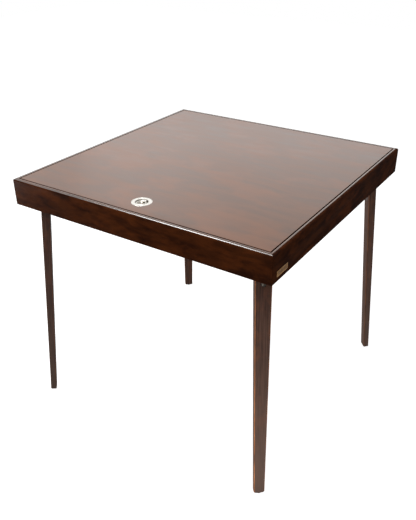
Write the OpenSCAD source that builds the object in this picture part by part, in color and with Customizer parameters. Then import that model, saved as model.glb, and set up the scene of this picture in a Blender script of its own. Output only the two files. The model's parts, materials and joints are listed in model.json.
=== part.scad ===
// Square folding puzzle table. Origin on the floor under the middle of the table, +Z up,
// X along the front edge, Y towards the back. Millimetres.

/* [Table top] */
// Outer side of the square top
table_side = 813; // [760:1:900]
// Height of the top face above the floor
table_h = 750; // [700:1:800]
// Height of the rails under the top
rail_h = 76; // [74:1:100]
// Thickness of the rails
rail_t = 19; // [17:0.5:24]
// Width of the rim that shows round the cover
lip_w = 11; // [9:0.5:13]
// Radius of the round on the rim's outer edge
rim_r = 5; // [3:0.5:6]
// Width of the fine quirk beside the round
quirk_w = 0.8; // [0.4:0.1:1.2]
// Depth of the fine quirk
quirk_d = 0.6; // [0.3:0.1:1]
// Thickness of the lift-off cover
cover_t = 8; // [7:0.5:12]
// Gap between the cover and the rim
cover_gap = 3; // [1:0.5:4]
// Radius of the eased edge of the cover
cover_ease = 1.2; // [0.5:0.1:2]
// Thickness of the felt strips under the cover
strip_t = 1; // [0.5:0.1:2]
// Width of the felt strips under the cover
strip_w = 5; // [3:0.5:6]

/* [Puzzle well] */
// Depth of the well between the cover and the playing felt
well_d = 7; // [5:0.5:10]
// Thickness of the playing felt
felt_t = 1.5; // [1:0.5:3]
// Thickness of the play board
board_t = 5; // [4:0.5:8]
// Side of the square cleats under the play board
cleat_s = 12; // [10:0.5:16]
// Gap between the play board and the rails
board_gap = 0.25; // [0.1:0.05:1]

/* [Legs] */
// Distance of a leg from the rails' inner corner, along the diagonal, at their lower edge
leg_in = 52.3; // [46:0.1:70]
// Sideways place of a leg at the rails' lower edge
leg_e = 2.9; // [0:0.1:5]
// Outward lean of a leg
splay = 5.1; // [3:0.1:7]
// Turn of a leg's folding plane off the diagonal
skew = 4; // [3:0.5:6]
// Width of a leg inside the rails
leg_w = 42.4; // [38:0.1:46]
// Thickness of a leg inside the rails
leg_t = 23.8; // [20:0.1:24]
// Width of a leg at the foot
foot_w = 29.8; // [24:0.1:36]
// Thickness of a leg at the foot
foot_t = 18; // [16:0.1:22]
// Depth of the flat cut along a leg's long edges
leg_ease = 1.2; // [0.6:0.1:2]
// Size of the bevel round the foot
foot_ease = 1.5; // [1:0.1:2]
// Drop of the upper pair's pivots below the play board
pivot_drop = 17.5; // [17:0.5:22]
// Drop of the lower pair's pivots below the upper pair's
pair_step = 22.5; // [22.5:0.5:26]
// Distance of the leg bolt below the rails
bolt_drop = 35; // [20:1:60]
// Distance of the hinge strap's screw below the rails
screw_drop = 82; // [70:1:100]

/* [Leg hardware] */
// Radius of the pivot bolt
pivot_r = 3; // [2.5:0.1:4]
// Running clearance round the pivot bolt
pivot_fit = 0.05; // [0.02:0.01:0.1]
// Thickness of the leg hinge's steel
hinge_t = 1.5; // [1:0.1:2]
// Width of the strap on the leg's inner face
strap_w = 16; // [12:1:20]
// Thickness of the bracket's steel
bracket_t = 2.5; // [2:0.1:3]
// Height of the bracket
bracket_h = 28; // [26:1:28]
// Thickness of the friction washers
washer_t = 1; // [0.8:0.1:1.5]
// Radius of the friction washers
washer_r = 7; // [5.5:0.1:8]
// Gap between parts that move past each other
run_gap = 0.3; // [0.2:0.05:0.5]
// Radius of the leg bolt
bolt_r = 3; // [2.5:0.1:3.5]
// Radius of the leg bolt's domed head
dome_r = 6.5; // [5:0.1:8]
// Height of the leg bolt's domed head
dome_h = 2.8; // [2:0.1:4]
// Thickness of the glide under the foot
glide_t = 2.5; // [2:0.1:4]
// Radius of the glide
glide_r = 7.5; // [6:0.1:8.5]
// Shank radius of the wood screws
screw_r = 1.75; // [1.5:0.05:2]
// Head radius of the wood screws
screw_head_r = 3.5; // [3:0.1:4]

/* [Ring pull] */
// Sideways place of the ring pull
pull_x = -9; // [-60:1:60]
// Distance of the ring pull's centre from the table's front edge
pull_in = 71.5; // [60:0.5:120]
// Outer radius of the ring pull's plate
pull_r = 27.5; // [25:0.5:32]
// Thickness of the plate's flange
flange_t = 1.4; // [1:0.1:2]
// Radius inside the plate's cup
cup_r = 17; // [16.5:0.1:18]
// Depth of the cup
cup_d = 6; // [5.8:0.1:6]
// Wall of the cup
cup_wall = 1; // [0.6:0.1:1]
// Centre-line radius of the ring
ring_r = 12; // [11:0.1:12.2]
// Radius of the ring's wire
wire_r = 1.4; // [1:0.1:1.5]
// Radius of the ring's pin
pin_r = 1; // [0.8:0.05:1.1]
// Running clearance round the ring's pin
pin_fit = 0.05; // [0.02:0.01:0.1]

/* [Name plate] */
// Length of the blank plate
plate_l = 52; // [30:1:80]
// Height of the blank plate
plate_h = 15; // [10:0.5:24]
// Thickness of the blank plate
plate_t = 1.2; // [0.8:0.1:2]
// Depth of the plate's pocket in the rail
plate_inset = 0.9; // [0.5:0.1:1.5]
// Distance of the plate's middle from the front edge
plate_in = 48.5; // [45:0.5:120]
// Height of the plate's middle above the rails' lower edge
plate_up = 19; // [13:0.5:50]

/* [Hidden] */
$fn = 48;

half = table_side / 2;
inner = half - rail_t;              // half the clear width between the rails
corner_d = inner * sqrt(2);         // the rails' inner corner, from the centre
leg_d = corner_d - leg_in;          // a leg at the rails' lower edge, from the centre
rail_z = table_h - rail_h;          // lower edge of the rails
cover_z = table_h - cover_t;        // underside of the cover
shelf_z = cover_z - strip_t;        // the rebate's shelf in the rails
cover_half = half - lip_w - cover_gap;
felt_z = cover_z - well_d - felt_t; // underside of the playing felt
board_z = felt_z - board_t;         // underside of the play board
eps = 0.02;                         // overlap of parts of one solid
run_out = 1;                        // how far a cut runs past a face
arc_steps = 6;

// Corners, counter-clockwise from the front right one, with each leg's pair: 0 upper, 1 lower
corner_angles = [-45, 45, 135, 225];
corner_pairs = [0, 1, 0, 1];

// Leg and bracket sizes, in the frame of a pivot: x outwards, y across the leg, z up
function pivot_z(pair) = board_z - pivot_drop - pair * pair_step;
function pivot_x(pair) = -(pivot_z(pair) - rail_z) * tan(splay);
function along(pair, z) = (pivot_z(pair) - z) / cos(splay);    // distance down the leg
function foot_x(pair, z) = (pivot_z(pair) - z) * tan(splay);
function taper_from(pair) = along(pair, rail_z);
function half_t(pair, s) = leg_t / 2 - (leg_t - foot_t) / 2 *
    max(0, s - taper_from(pair)) / (along(pair, glide_t) - taper_from(pair));
leg_top_r = leg_t / 2 + 0.6;        // round of the leg's top, about the pivot
flange_len = 13;                    // hinge side plates below the pivot
strap_end = 10;                     // strap below its screw
edge_gap = 0.5;                     // between the side plates and the cut edges
washer_y = leg_w / 2 + run_gap;     // inner face of a friction washer
ear_y = washer_y + washer_t;        // inner face of a bracket ear
bracket_y = ear_y + bracket_t;
stop_x = leg_t / 2 / cos(splay) + bracket_h / 2 * tan(splay) + run_gap;
bracket_back = stop_x + bracket_t;  // face that meets the corner block
ear_r = 9;
pivot_bore = pivot_r + pivot_fit;
pivot_head_r = 5.5;
pivot_head_h = 3;
pivot_nut_af = 10;
pivot_nut_h = 5;
pivot_tail = 1;
bracket_hole_y = bracket_y - 10;
bracket_hole_z = 8;
bracket_screw_l = 18;
washer_fit = 0.1;
screw_head_h = 2;
hole_slack = 0.05;
sleeve_head_r = 6.5;
sleeve_head_h = 1.5;
sleeve_r = 4;
sleeve_l = 9;
sleeve_floor = 2.9;                 // closed end of the sleeve nut
bolt_short = 0.1;                   // gap between the bolt's end and that floor
dome_fit = 0.2;
dome_sink = 0.4;                    // seat of the domed head below the leg's face
strap_screw_l = 15;
nail_r = 1.1;
nail_l = 12;
rest_s = 165;                       // place of a leg rest along the folded leg
rest_l = 24;
rest_w = 36;

// Corner block: its face lies on the bracket's back plate
function block_x(pair) = pivot_x(pair) + bracket_back;
block_depth = leg_in - block_x(0);
block_reach = block_depth * sqrt(2) / (cos(skew) - sin(skew)) + leg_e;
block_up = 1;                       // block above the rails' lower edge
cleat_end = 2;
cleat_half = inner - block_reach - cleat_end;
cleat_screw_x = cleat_half - 48;    // end screws 48 mm from the cleat's ends
screw_cover = 1.5;                  // board left above a cleat screw's point
cleat_screw_l = cleat_s + board_t - screw_cover;

// Biscuits across the mitres
biscuit_t = 4;
biscuit_w = 16;
biscuit_h = 48;
biscuit_d = (inner + half) / 2 * sqrt(2);
biscuit_z = (rail_z + shelf_z) / 2;
biscuit_slack = 0.1;

// Ring pull, in the frame of its plate: origin on the cover's face
pull_y = -half + pull_in;
ring_forward = 2.5;
pin_back = 3.2;                     // pin behind the ring's centre line
pin_y = ring_r + pin_back - ring_forward;
pin_z = -2.4;
lug_r = 2.2;
barrel_r = 1.9;
barrel_l = 8;
lug_t = 2.4;
neck_w = 6;
pull_screw_x = (cup_r + cup_wall + pull_r) / 2;
pull_screw_r = 1.2;
pull_screw_head_r = 2.4;
pull_screw_head_h = 1.2;
pull_screw_l = 6;

plate_pin_r = 0.9;
plate_pin_head_r = 1.5;
plate_pin_head_h = 0.6;
plate_pin_l = 7;
plate_pin_in = 4;
plate_pin_y = plate_l / 2 - plate_pin_in;
lip_ease = 0.6;                     // bevel on the rim's inner edge
arris = 1;                          // bevel on the rails' lower outer edge

wood = "#4a2a1c";
leg_wood_colour = "#5a3a28";
steel = "#5c4d42";
bright = "#c9c9c6";
felt_colour = "#1f3d2f";
ply = "#b98d5f";

// Points of a quarter round from angle a0 about (cx, cy)
function quarter(cx, cy, r, a0) =
    [for (i = [0:arc_steps]) let (a = a0 + 90 * i / arc_steps) [cx + r * cos(a), cy + r * sin(a)]];

// Domed head with its seat at z = 0
module dome(r, h) {
    big = (r * r + h * h) / (2 * h);
    intersection() {
        translate([0, 0, h - big]) sphere(r = big, $fn = 96);
        cylinder(r = r, h = h);
    }
}

// Countersunk wood screw, its head's face at z = 0 and its point downwards
module wood_screw(r, head_r, head_h, l) {
    translate([0, 0, -head_h]) cylinder(r1 = r, r2 = head_r, h = head_h);
    translate([0, 0, -l + r]) cylinder(r = r, h = l - r - head_h + eps);
    translate([0, 0, -l]) cylinder(r1 = r / 3, r2 = r, h = r);
}

// The hole for that screw
module screw_hole(r, head_r, head_h, l) {
    translate([0, 0, -head_h]) cylinder(r1 = r + hole_slack, r2 = head_r + hole_slack, h = head_h);
    translate([0, 0, -eps]) cylinder(r = head_r + hole_slack, h = run_out);
    translate([0, 0, -l - hole_slack]) cylinder(r = r + hole_slack, h = l);
}

// Puts children at the pivot of corner i, with x outwards in the leg's folding plane
module at_pivot(i) {
    pair = corner_pairs[i];
    rotate([0, 0, corner_angles[i]]) translate([leg_d, leg_e, 0]) rotate([0, 0, -skew])
        translate([pivot_x(pair), 0, pivot_z(pair)]) children();
}

// Puts children in the leg's own frame: z up along the leg, x out of its outer face
module in_leg() {
    rotate([0, -splay, 0]) children();
}

// Section of a rail: x inwards from the outer face, y up
rail_section = concat(
    [[arris, rail_z], [rail_t, rail_z], [rail_t, shelf_z], [lip_w, shelf_z],
     [lip_w, table_h - lip_ease], [lip_w - lip_ease, table_h], [rim_r + quirk_w, table_h],
     [rim_r + quirk_w, table_h - quirk_d], [rim_r, table_h - quirk_d]],
    quarter(rim_r, table_h - rim_r, rim_r, 90), [[0, rail_z + arris]]);

// Rail on the front side, turned to its own side by the caller
module rail_shape() {
    difference() {
        intersection() {
            translate([-half, -half, 0]) rotate([90, 0, 90]) linear_extrude(table_side)
                polygon(rail_section);
            translate([0, 0, rail_z - run_out]) linear_extrude(rail_h + 2 * run_out)
                polygon([[-half, -half], [half, -half], [0, 0]]);
        }
        for (side = [-1, 1]) rotate([0, 0, -90 + side * 45]) biscuit(biscuit_slack);
    }
}

// Biscuit on the diagonal along x
module biscuit(slack) {
    translate([biscuit_d, 0, biscuit_z]) cube([
        biscuit_t + 2 * slack, biscuit_w + 2 * slack, biscuit_h + 2 * slack], center = true);
}

module rail_front() { color(wood) rail_shape(); }
module rail_right() {
    color(wood) difference() {
        rotate([0, 0, 90]) rail_shape();
        translate([half - plate_inset, -half + plate_in - plate_l / 2, rail_z + plate_up - plate_h / 2])
            cube([plate_inset + run_out, plate_l, plate_h]);
        at_plate_pins() screw_hole(plate_pin_r, plate_pin_head_r, plate_pin_head_h, plate_pin_l);
    }
}
module rail_back() { color(wood) rotate([0, 0, 180]) rail_shape(); }
module rail_left() { color(wood) rotate([0, 0, 270]) rail_shape(); }

module mitre_biscuits() {
    color(ply) for (a = corner_angles) rotate([0, 0, a]) biscuit(0);
}

// Block glued in corner i behind the leg's bracket
module corner_block(i) {
    block_h = board_z - rail_z - block_up;
    wide = 2 * block_reach;
    color(ply) difference() {
        intersection() {
            translate([-inner, -inner, rail_z + block_up]) cube([2 * inner, 2 * inner, block_h]);
            at_pivot(i) translate([bracket_back, -wide, -rail_h]) cube([wide, 2 * wide, 2 * rail_h]);
        }
        at_pivot(i) bracket_screw_places()
            screw_hole(screw_r, screw_head_r, screw_head_h, bracket_screw_l);
    }
}
module corner_block_front_right() { corner_block(0); }
module corner_block_back_right() { corner_block(1); }
module corner_block_back_left() { corner_block(2); }
module corner_block_front_left() { corner_block(3); }

// Cleat on the front side, under the play board's edge
module cleat_shape() {
    difference() {
        translate([-cleat_half, -inner, board_z - cleat_s]) cube([2 * cleat_half, cleat_s, cleat_s]);
        cleat_screw_places() screw_hole(screw_r, screw_head_r, screw_head_h, cleat_screw_l);
    }
}

// Screws point up from the cleat's lower face
module cleat_screw_places() {
    for (x = [-cleat_screw_x, 0, cleat_screw_x])
        translate([x, -inner + cleat_s / 2, board_z - cleat_s]) rotate([180, 0, 0]) children();
}
module cleat_front() { color(ply) cleat_shape(); }
module cleat_right() { color(ply) rotate([0, 0, 90]) cleat_shape(); }
module cleat_back() { color(ply) rotate([0, 0, 180]) cleat_shape(); }
module cleat_left() { color(ply) rotate([0, 0, 270]) cleat_shape(); }
module cleat_screws() {
    color(steel) for (a = [0, 90, 180, 270]) rotate([0, 0, a]) cleat_screw_places()
        wood_screw(screw_r, screw_head_r, screw_head_h, cleat_screw_l);
}

module play_board() {
    side = 2 * (inner - board_gap);
    color(ply) difference() {
        translate([-side / 2, -side / 2, board_z]) cube([side, side, board_t]);
        for (a = [0, 90, 180, 270]) rotate([0, 0, a]) cleat_screw_places()
            screw_hole(screw_r, screw_head_r, screw_head_h, cleat_screw_l);
    }
}
module play_felt() {
    side = 2 * (inner - board_gap);
    color(felt_colour) translate([-side / 2, -side / 2, felt_z]) cube([side, side, felt_t]);
}

// Felt strips on the rebate's shelf that the cover lies on
module rim_felt_strips() {
    strip_half = cover_half - rail_t;
    color(felt_colour) for (a = [0, 90, 180, 270]) rotate([0, 0, a])
        translate([-strip_half, -inner - strip_w, shelf_z]) cube([2 * strip_half, strip_w, strip_t]);
}

// Block under the play board that a folded leg comes up against
module leg_rest(i) {
    pair = corner_pairs[i];
    low = half_t(pair, rest_s - rest_l / 2) + run_gap;
    color(ply) at_pivot(i) translate([-rest_s - rest_l / 2, -rest_w / 2, low])
        cube([rest_l, rest_w, board_z - pivot_z(pair) - low]);
}
module leg_rest_front_right() { leg_rest(0); }
module leg_rest_back_right() { leg_rest(1); }
module leg_rest_back_left() { leg_rest(2); }
module leg_rest_front_left() { leg_rest(3); }

// U-shaped bracket round a leg's top; its back plate is the stop for the open leg
module bracket(i) {
    h = bracket_h / 2;
    color(steel) at_pivot(i) difference() {
        union() {
            translate([stop_x, -bracket_y, -h]) cube([bracket_t, 2 * bracket_y, bracket_h]);
            for (y = [-bracket_y, ear_y]) translate([0, y + bracket_t, 0]) rotate([90, 0, 0])
                linear_extrude(bracket_t) {
                    circle(r = ear_r);
                    polygon([[0, -ear_r], [stop_x + eps, -h], [stop_x + eps, h], [0, ear_r]]);
                }
        }
        rotate([90, 0, 0]) cylinder(r = pivot_bore, h = 3 * bracket_y, center = true);
        bracket_screw_places() screw_hole(screw_r, screw_head_r, screw_head_h, bracket_screw_l);
    }
}

// Screws point outwards from the back plate's inner face
module bracket_screw_places() {
    for (y = [-bracket_hole_y, bracket_hole_y], z = [-bracket_hole_z, bracket_hole_z])
        translate([stop_x, y, z]) rotate([0, -90, 0]) children();
}
module bracket_front_right() { bracket(0); }
module bracket_back_right() { bracket(1); }
module bracket_back_left() { bracket(2); }
module bracket_front_left() { bracket(3); }
module bracket_screws() {
    color(bright) for (i = [0:3]) at_pivot(i) bracket_screw_places()
        wood_screw(screw_r, screw_head_r, screw_head_h, bracket_screw_l);
}

module pivot_bolts() {
    shank = 2 * bracket_y + pivot_nut_h + pivot_tail;
    color(bright) for (i = [0:3]) at_pivot(i) translate([0, bracket_y, 0]) rotate([-90, 0, 0]) {
        dome(pivot_head_r, pivot_head_h);
        translate([0, 0, -shank]) cylinder(r = pivot_r, h = shank + eps);
    }
}
module pivot_nuts() {
    color(bright) for (i = [0:3]) at_pivot(i) translate([0, -bracket_y, 0]) rotate([90, 0, 0])
        difference() {
            cylinder(r = pivot_nut_af / sqrt(3), h = pivot_nut_h, $fn = 6);
            translate([0, 0, -run_out]) cylinder(r = pivot_r + eps, h = pivot_nut_h + 2 * run_out);
        }
}
module friction_washers() {
    color(wood) for (i = [0:3], y = [-ear_y, washer_y]) at_pivot(i)
        translate([0, y + washer_t, 0]) rotate([90, 0, 0]) difference() {
            cylinder(r = washer_r, h = washer_t);
            translate([0, 0, -run_out])
                cylinder(r = pivot_bore + washer_fit, h = washer_t + 2 * run_out);
        }
}

// Point of the leg's side outline: x out of the middle plane, s down the leg
function leg_point(x, s) = [x * cos(splay) + s * sin(splay), x * sin(splay) - s * cos(splay)];

// Side outline of a leg, level at the foot, for its outer (+1) or inner (-1) face
function side_points(pair, side) = [
    leg_point(side * leg_t / 2, -leg_t), leg_point(side * leg_t / 2, taper_from(pair)),
    [foot_x(pair, glide_t + foot_ease) + side * foot_t / 2, glide_t + foot_ease - pivot_z(pair)],
    [foot_x(pair, glide_t) + side * (foot_t / 2 - foot_ease), glide_t - pivot_z(pair)]];

// Front outline of a leg, right half or left half
function front_points(pair, side) = [
    [side * leg_w / 2, leg_t], [side * leg_w / 2, rail_z - pivot_z(pair)],
    [side * foot_w / 2, glide_t + foot_ease - pivot_z(pair)],
    [side * (foot_w / 2 - foot_ease), glide_t - pivot_z(pair)]];

function reversed(points) = [for (i = [len(points) - 1:-1:0]) points[i]];

module leg(i) {
    pair = corner_pairs[i];
    color(leg_wood_colour) at_pivot(i) difference() {
        intersection() {
            translate([0, leg_w, 0]) rotate([90, 0, 0]) linear_extrude(2 * leg_w) intersection() {
                polygon(concat(side_points(pair, 1), reversed(side_points(pair, -1))));
                union() {
                    circle(r = leg_top_r);
                    translate([-half, -table_h]) square([table_side, table_h]);
                }
            }
            translate([-half, 0, 0]) rotate([90, 0, 90]) linear_extrude(table_side)
                polygon(concat(front_points(pair, 1), reversed(front_points(pair, -1))));
        }
        in_leg() {
            for (x = [0, 1], y = [0, 1]) mirror([x, 0, 0]) mirror([0, y, 0]) edge_cut(pair);
            hinge_shape(pair, 1);
            translate([0, 0, -along(pair, rail_z - bolt_drop)]) rotate([0, 90, 0]) {
                translate([0, 0, -leg_t]) cylinder(r = bolt_r + hole_slack, h = 2 * leg_t);
                translate([0, 0, bolt_face(pair)]) cylinder(r = dome_r + dome_fit, h = leg_t);
                translate([0, 0, -leg_t]) cylinder(r = sleeve_r + hole_slack,
                    h = leg_t / 2 + sleeve_l + hole_slack);
            }
            strap_screw_place(pair)
                screw_hole(screw_r, screw_head_r, screw_head_h, strap_screw_l);
        }
        rotate([90, 0, 0]) translate([0, 0, -leg_w]) cylinder(r = pivot_bore, h = 2 * leg_w);
        translate([foot_x(pair, 0), 0, -pivot_z(pair)])
            cylinder(r = nail_r + hole_slack, h = glide_t + nail_l + hole_slack);
    }
}

// Cuts the long edge at +x, +y off the visible part of a leg
module edge_cut(pair) {
    fall = along(pair, glide_t) - taper_from(pair);
    top = taper_from(pair) - flange_len - edge_gap;
    translate([leg_t / 2, leg_w / 2, -taper_from(pair)])
        rotate([-atan((leg_w - foot_w) / 2 / fall), atan((leg_t - foot_t) / 2 / fall), 0])
        rotate([0, 0, 45]) translate([-leg_ease, -leg_w, -2 * fall])
        cube([leg_w, 2 * leg_w, 2 * fall + top]);
}

// Seat of the leg bolt's domed head, just under the outer face
function bolt_face(pair) = half_t(pair, along(pair, rail_z - bolt_drop)) - dome_sink;
function strap_low(pair) = along(pair, rail_z - screw_drop) + strap_end;

module strap_screw_place(pair) {
    translate([-leg_t / 2, 0, -along(pair, rail_z - screw_drop)]) rotate([0, -90, 0]) children();
}

// Steel cap round the leg's top with a strap down the inner face, let in flush; its pocket in
// the leg runs past the faces by over
module hinge_shape(pair, over) {
    for (side = [-1, 1]) translate([0, side * (leg_w - hinge_t + over) / 2, 0]) rotate([90, 0, 0])
        linear_extrude(hinge_t + over, center = true) {
            circle(r = leg_t / 2 + over);
            translate([-leg_t / 2 - over, -flange_len]) square([leg_t + 2 * over, flange_len]);
        }
    translate([-leg_t / 2 - over, -leg_w / 2, -flange_len]) cube([hinge_t + over, leg_w, flange_len]);
    translate([-leg_t / 2 - over, -strap_w / 2, -strap_low(pair)])
        cube([hinge_t + over, strap_w, strap_low(pair) - flange_len + eps]);
}

module leg_hinge(i) {
    pair = corner_pairs[i];
    color(steel) at_pivot(i) in_leg() difference() {
        hinge_shape(pair, 0);
        rotate([90, 0, 0]) translate([0, 0, -leg_w]) cylinder(r = pivot_bore, h = 2 * leg_w);
        translate([-leg_t, 0, -along(pair, rail_z - bolt_drop)]) rotate([0, 90, 0])
            cylinder(r = sleeve_r + hole_slack, h = leg_t);
        strap_screw_place(pair) screw_hole(screw_r, screw_head_r, screw_head_h, strap_screw_l);
    }
}

// Domed bolt through the leg from its outer face
module leg_bolt(i) {
    pair = corner_pairs[i];
    tip = -leg_t / 2 + sleeve_floor + bolt_short;
    color(bright) at_pivot(i) in_leg() translate([0, 0, -along(pair, rail_z - bolt_drop)])
        rotate([0, 90, 0]) {
            translate([0, 0, bolt_face(pair)]) dome(dome_r, dome_h);
            translate([0, 0, tip]) cylinder(r = bolt_r, h = bolt_face(pair) - tip + eps);
        }
}

// Flat-headed sleeve nut on the strap
module sleeve_nut(i) {
    pair = corner_pairs[i];
    color(bright) at_pivot(i) in_leg() translate([0, 0, -along(pair, rail_z - bolt_drop)])
        rotate([0, 90, 0]) translate([0, 0, -leg_t / 2]) difference() {
            union() {
                translate([0, 0, -sleeve_head_h]) cylinder(r = sleeve_head_r, h = sleeve_head_h);
                cylinder(r = sleeve_r, h = sleeve_l);
            }
            translate([0, 0, sleeve_floor]) cylinder(r = bolt_r + eps, h = sleeve_l);
        }
}

module strap_screw(i) {
    pair = corner_pairs[i];
    color(steel) at_pivot(i) in_leg() strap_screw_place(pair)
        wood_screw(screw_r, screw_head_r, screw_head_h, strap_screw_l);
}

// Nail-on glide under the foot
module glide(i) {
    pair = corner_pairs[i];
    bevel = 0.8;
    color(bright) at_pivot(i) translate([foot_x(pair, glide_t), 0, -pivot_z(pair)]) {
        cylinder(r1 = glide_r - bevel, r2 = glide_r, h = bevel);
        translate([0, 0, bevel]) cylinder(r = glide_r, h = glide_t - bevel);
        translate([foot_x(pair, 0) - foot_x(pair, glide_t), 0, glide_t - eps])
            cylinder(r = nail_r, h = nail_l);
    }
}
module leg_front_right() { leg(0); }
module leg_back_right() { leg(1); }
module leg_back_left() { leg(2); }
module leg_front_left() { leg(3); }
module leg_hinge_front_right() { leg_hinge(0); }
module leg_hinge_back_right() { leg_hinge(1); }
module leg_hinge_back_left() { leg_hinge(2); }
module leg_hinge_front_left() { leg_hinge(3); }
module leg_bolt_front_right() { leg_bolt(0); }
module leg_bolt_back_right() { leg_bolt(1); }
module leg_bolt_back_left() { leg_bolt(2); }
module leg_bolt_front_left() { leg_bolt(3); }
module sleeve_nut_front_right() { sleeve_nut(0); }
module sleeve_nut_back_right() { sleeve_nut(1); }
module sleeve_nut_back_left() { sleeve_nut(2); }
module sleeve_nut_front_left() { sleeve_nut(3); }
module strap_screw_front_right() { strap_screw(0); }
module strap_screw_back_right() { strap_screw(1); }
module strap_screw_back_left() { strap_screw(2); }
module strap_screw_front_left() { strap_screw(3); }
module glide_front_right() { glide(0); }
module glide_back_right() { glide(1); }
module glide_back_left() { glide(2); }
module glide_front_left() { glide(3); }

// Section of the cover, square below and eased above
cover_section = concat(
    [[-cover_half, cover_z], [cover_half, cover_z]],
    quarter(cover_half - cover_ease, table_h - cover_ease, cover_ease, 0),
    quarter(-cover_half + cover_ease, table_h - cover_ease, cover_ease, 90));

module at_pull() { translate([pull_x, pull_y, table_h]) children(); }

module pull_screw_places() {
    for (x = [-pull_screw_x, pull_screw_x]) translate([x, 0, 0]) children();
}

module cover() {
    cup_fit = 0.2;
    color(wood) difference() {
        intersection() {
            translate([-half, 0, 0]) rotate([90, 0, 90]) linear_extrude(table_side)
                polygon(cover_section);
            translate([0, half, 0]) rotate([90, 0, 0]) linear_extrude(table_side)
                polygon(cover_section);
        }
        at_pull() {
            translate([0, 0, -flange_t]) cylinder(r = pull_r + hole_slack, h = flange_t + run_out);
            translate([0, 0, -cover_t - run_out])
                cylinder(r = cup_r + cup_wall + cup_fit, h = cover_t + 2 * run_out);
            pull_screw_places() screw_hole(pull_screw_r, pull_screw_head_r,
                pull_screw_head_h, pull_screw_l);
        }
    }
}

// Turned plate with a cup, and two lugs in the cup for the ring's pin
module pull_plate() {
    lug_in = barrel_l / 2 + run_gap;
    color(bright) at_pull() difference() {
        union() {
            difference() {
                union() {
                    translate([0, 0, -flange_t]) cylinder(r = pull_r, h = flange_t);
                    translate([0, 0, -cup_d - cup_wall])
                        cylinder(r = cup_r + cup_wall, h = cup_d + cup_wall);
                }
                translate([0, 0, -cup_d]) cylinder(r = cup_r, h = cup_d + run_out);
                pull_screw_places() screw_hole(pull_screw_r, pull_screw_head_r,
                    pull_screw_head_h, pull_screw_l);
            }
            for (x = [-lug_in - lug_t, lug_in]) translate([x, pin_y, pin_z]) rotate([90, 0, 90]) {
                cylinder(r = lug_r, h = lug_t);
                translate([-lug_r, -cup_d - pin_z - eps, 0])
                    cube([2 * lug_r, cup_d + pin_z + eps, lug_t]);
            }
        }
        translate([-cup_r, pin_y, pin_z]) rotate([0, 90, 0])
            cylinder(r = pin_r + eps, h = 2 * cup_r, $fn = 32);
    }
}
module pull_screws() {
    color(bright) at_pull() pull_screw_places()
        wood_screw(pull_screw_r, pull_screw_head_r, pull_screw_head_h, pull_screw_l);
}
module pull_pin() {
    l = barrel_l + 2 * run_gap + 2 * lug_t;
    color(bright) at_pull() translate([-l / 2, pin_y, pin_z]) rotate([0, 90, 0])
        cylinder(r = pin_r, h = l, $fn = 32);
}
module pull_ring() {
    color(bright) at_pull() difference() {
        union() {
            translate([0, -ring_forward, pin_z]) rotate_extrude($fn = 64)
                translate([ring_r, 0]) circle(r = wire_r, $fn = 24);
            translate([-barrel_l / 2, pin_y, pin_z]) rotate([0, 90, 0])
                cylinder(r = barrel_r, h = barrel_l, $fn = 32);
            translate([-neck_w / 2, pin_y - pin_back, pin_z - wire_r])
                cube([neck_w, pin_back, 2 * wire_r]);
        }
        translate([-barrel_l, pin_y, pin_z]) rotate([0, 90, 0])
            cylinder(r = pin_r + pin_fit, h = 2 * barrel_l, $fn = 32);
    }
}

// Blank plate let into the right rail near the front corner
module at_plate() {
    translate([half - plate_inset + plate_t, -half + plate_in, rail_z + plate_up]) children();
}
module at_plate_pins() {
    for (y = [-plate_pin_y, plate_pin_y]) at_plate() translate([0, y, 0]) rotate([0, 90, 0])
        children();
}
module name_plate() {
    color("#9a7448") difference() {
        at_plate() translate([-plate_t, -plate_l / 2, -plate_h / 2])
            cube([plate_t, plate_l, plate_h]);
        at_plate_pins() screw_hole(plate_pin_r, plate_pin_head_r, plate_pin_head_h, plate_pin_l);
    }
}
module plate_pins() {
    color("#9a7448") at_plate_pins()
        wood_screw(plate_pin_r, plate_pin_head_r, plate_pin_head_h, plate_pin_l);
}

rail_front();
rail_right();
rail_back();
rail_left();
mitre_biscuits();
corner_block_front_right();
corner_block_back_right();
corner_block_back_left();
corner_block_front_left();
cleat_front();
cleat_right();
cleat_back();
cleat_left();
cleat_screws();
play_board();
play_felt();
rim_felt_strips();
leg_rest_front_right();
leg_rest_back_right();
leg_rest_back_left();
leg_rest_front_left();
bracket_front_right();
bracket_back_right();
bracket_back_left();
bracket_front_left();
bracket_screws();
pivot_bolts();
pivot_nuts();
friction_washers();
name_plate();
plate_pins();
leg_front_right();
leg_back_right();
leg_back_left();
leg_front_left();
leg_hinge_front_right();
leg_hinge_back_right();
leg_hinge_back_left();
leg_hinge_front_left();
leg_bolt_front_right();
leg_bolt_back_right();
leg_bolt_back_left();
leg_bolt_front_left();
sleeve_nut_front_right();
sleeve_nut_back_right();
sleeve_nut_back_left();
sleeve_nut_front_left();
strap_screw_front_right();
strap_screw_back_right();
strap_screw_back_left();
strap_screw_front_left();
glide_front_right();
glide_back_right();
glide_back_left();
glide_front_left();
cover();
pull_plate();
pull_screws();
pull_pin();
pull_ring();
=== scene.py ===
"""Dresses the folding puzzle table and sets up its studio.

Every length is in metres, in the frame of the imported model: the floor at z = 0, the front edge
along X and the back towards +Y. Wooden pieces carry a vector attribute, GRAIN, that holds the
place of each point in the board it was cut from, with X along the grain.
"""

from __future__ import annotations

import json
import logging
import math
from contextlib import contextmanager
from dataclasses import dataclass, field, replace
from enum import Enum
from functools import cache
from typing import Any, Callable, Iterator, Sequence

import bmesh
import bpy
from mathutils import Matrix, Vector

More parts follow.
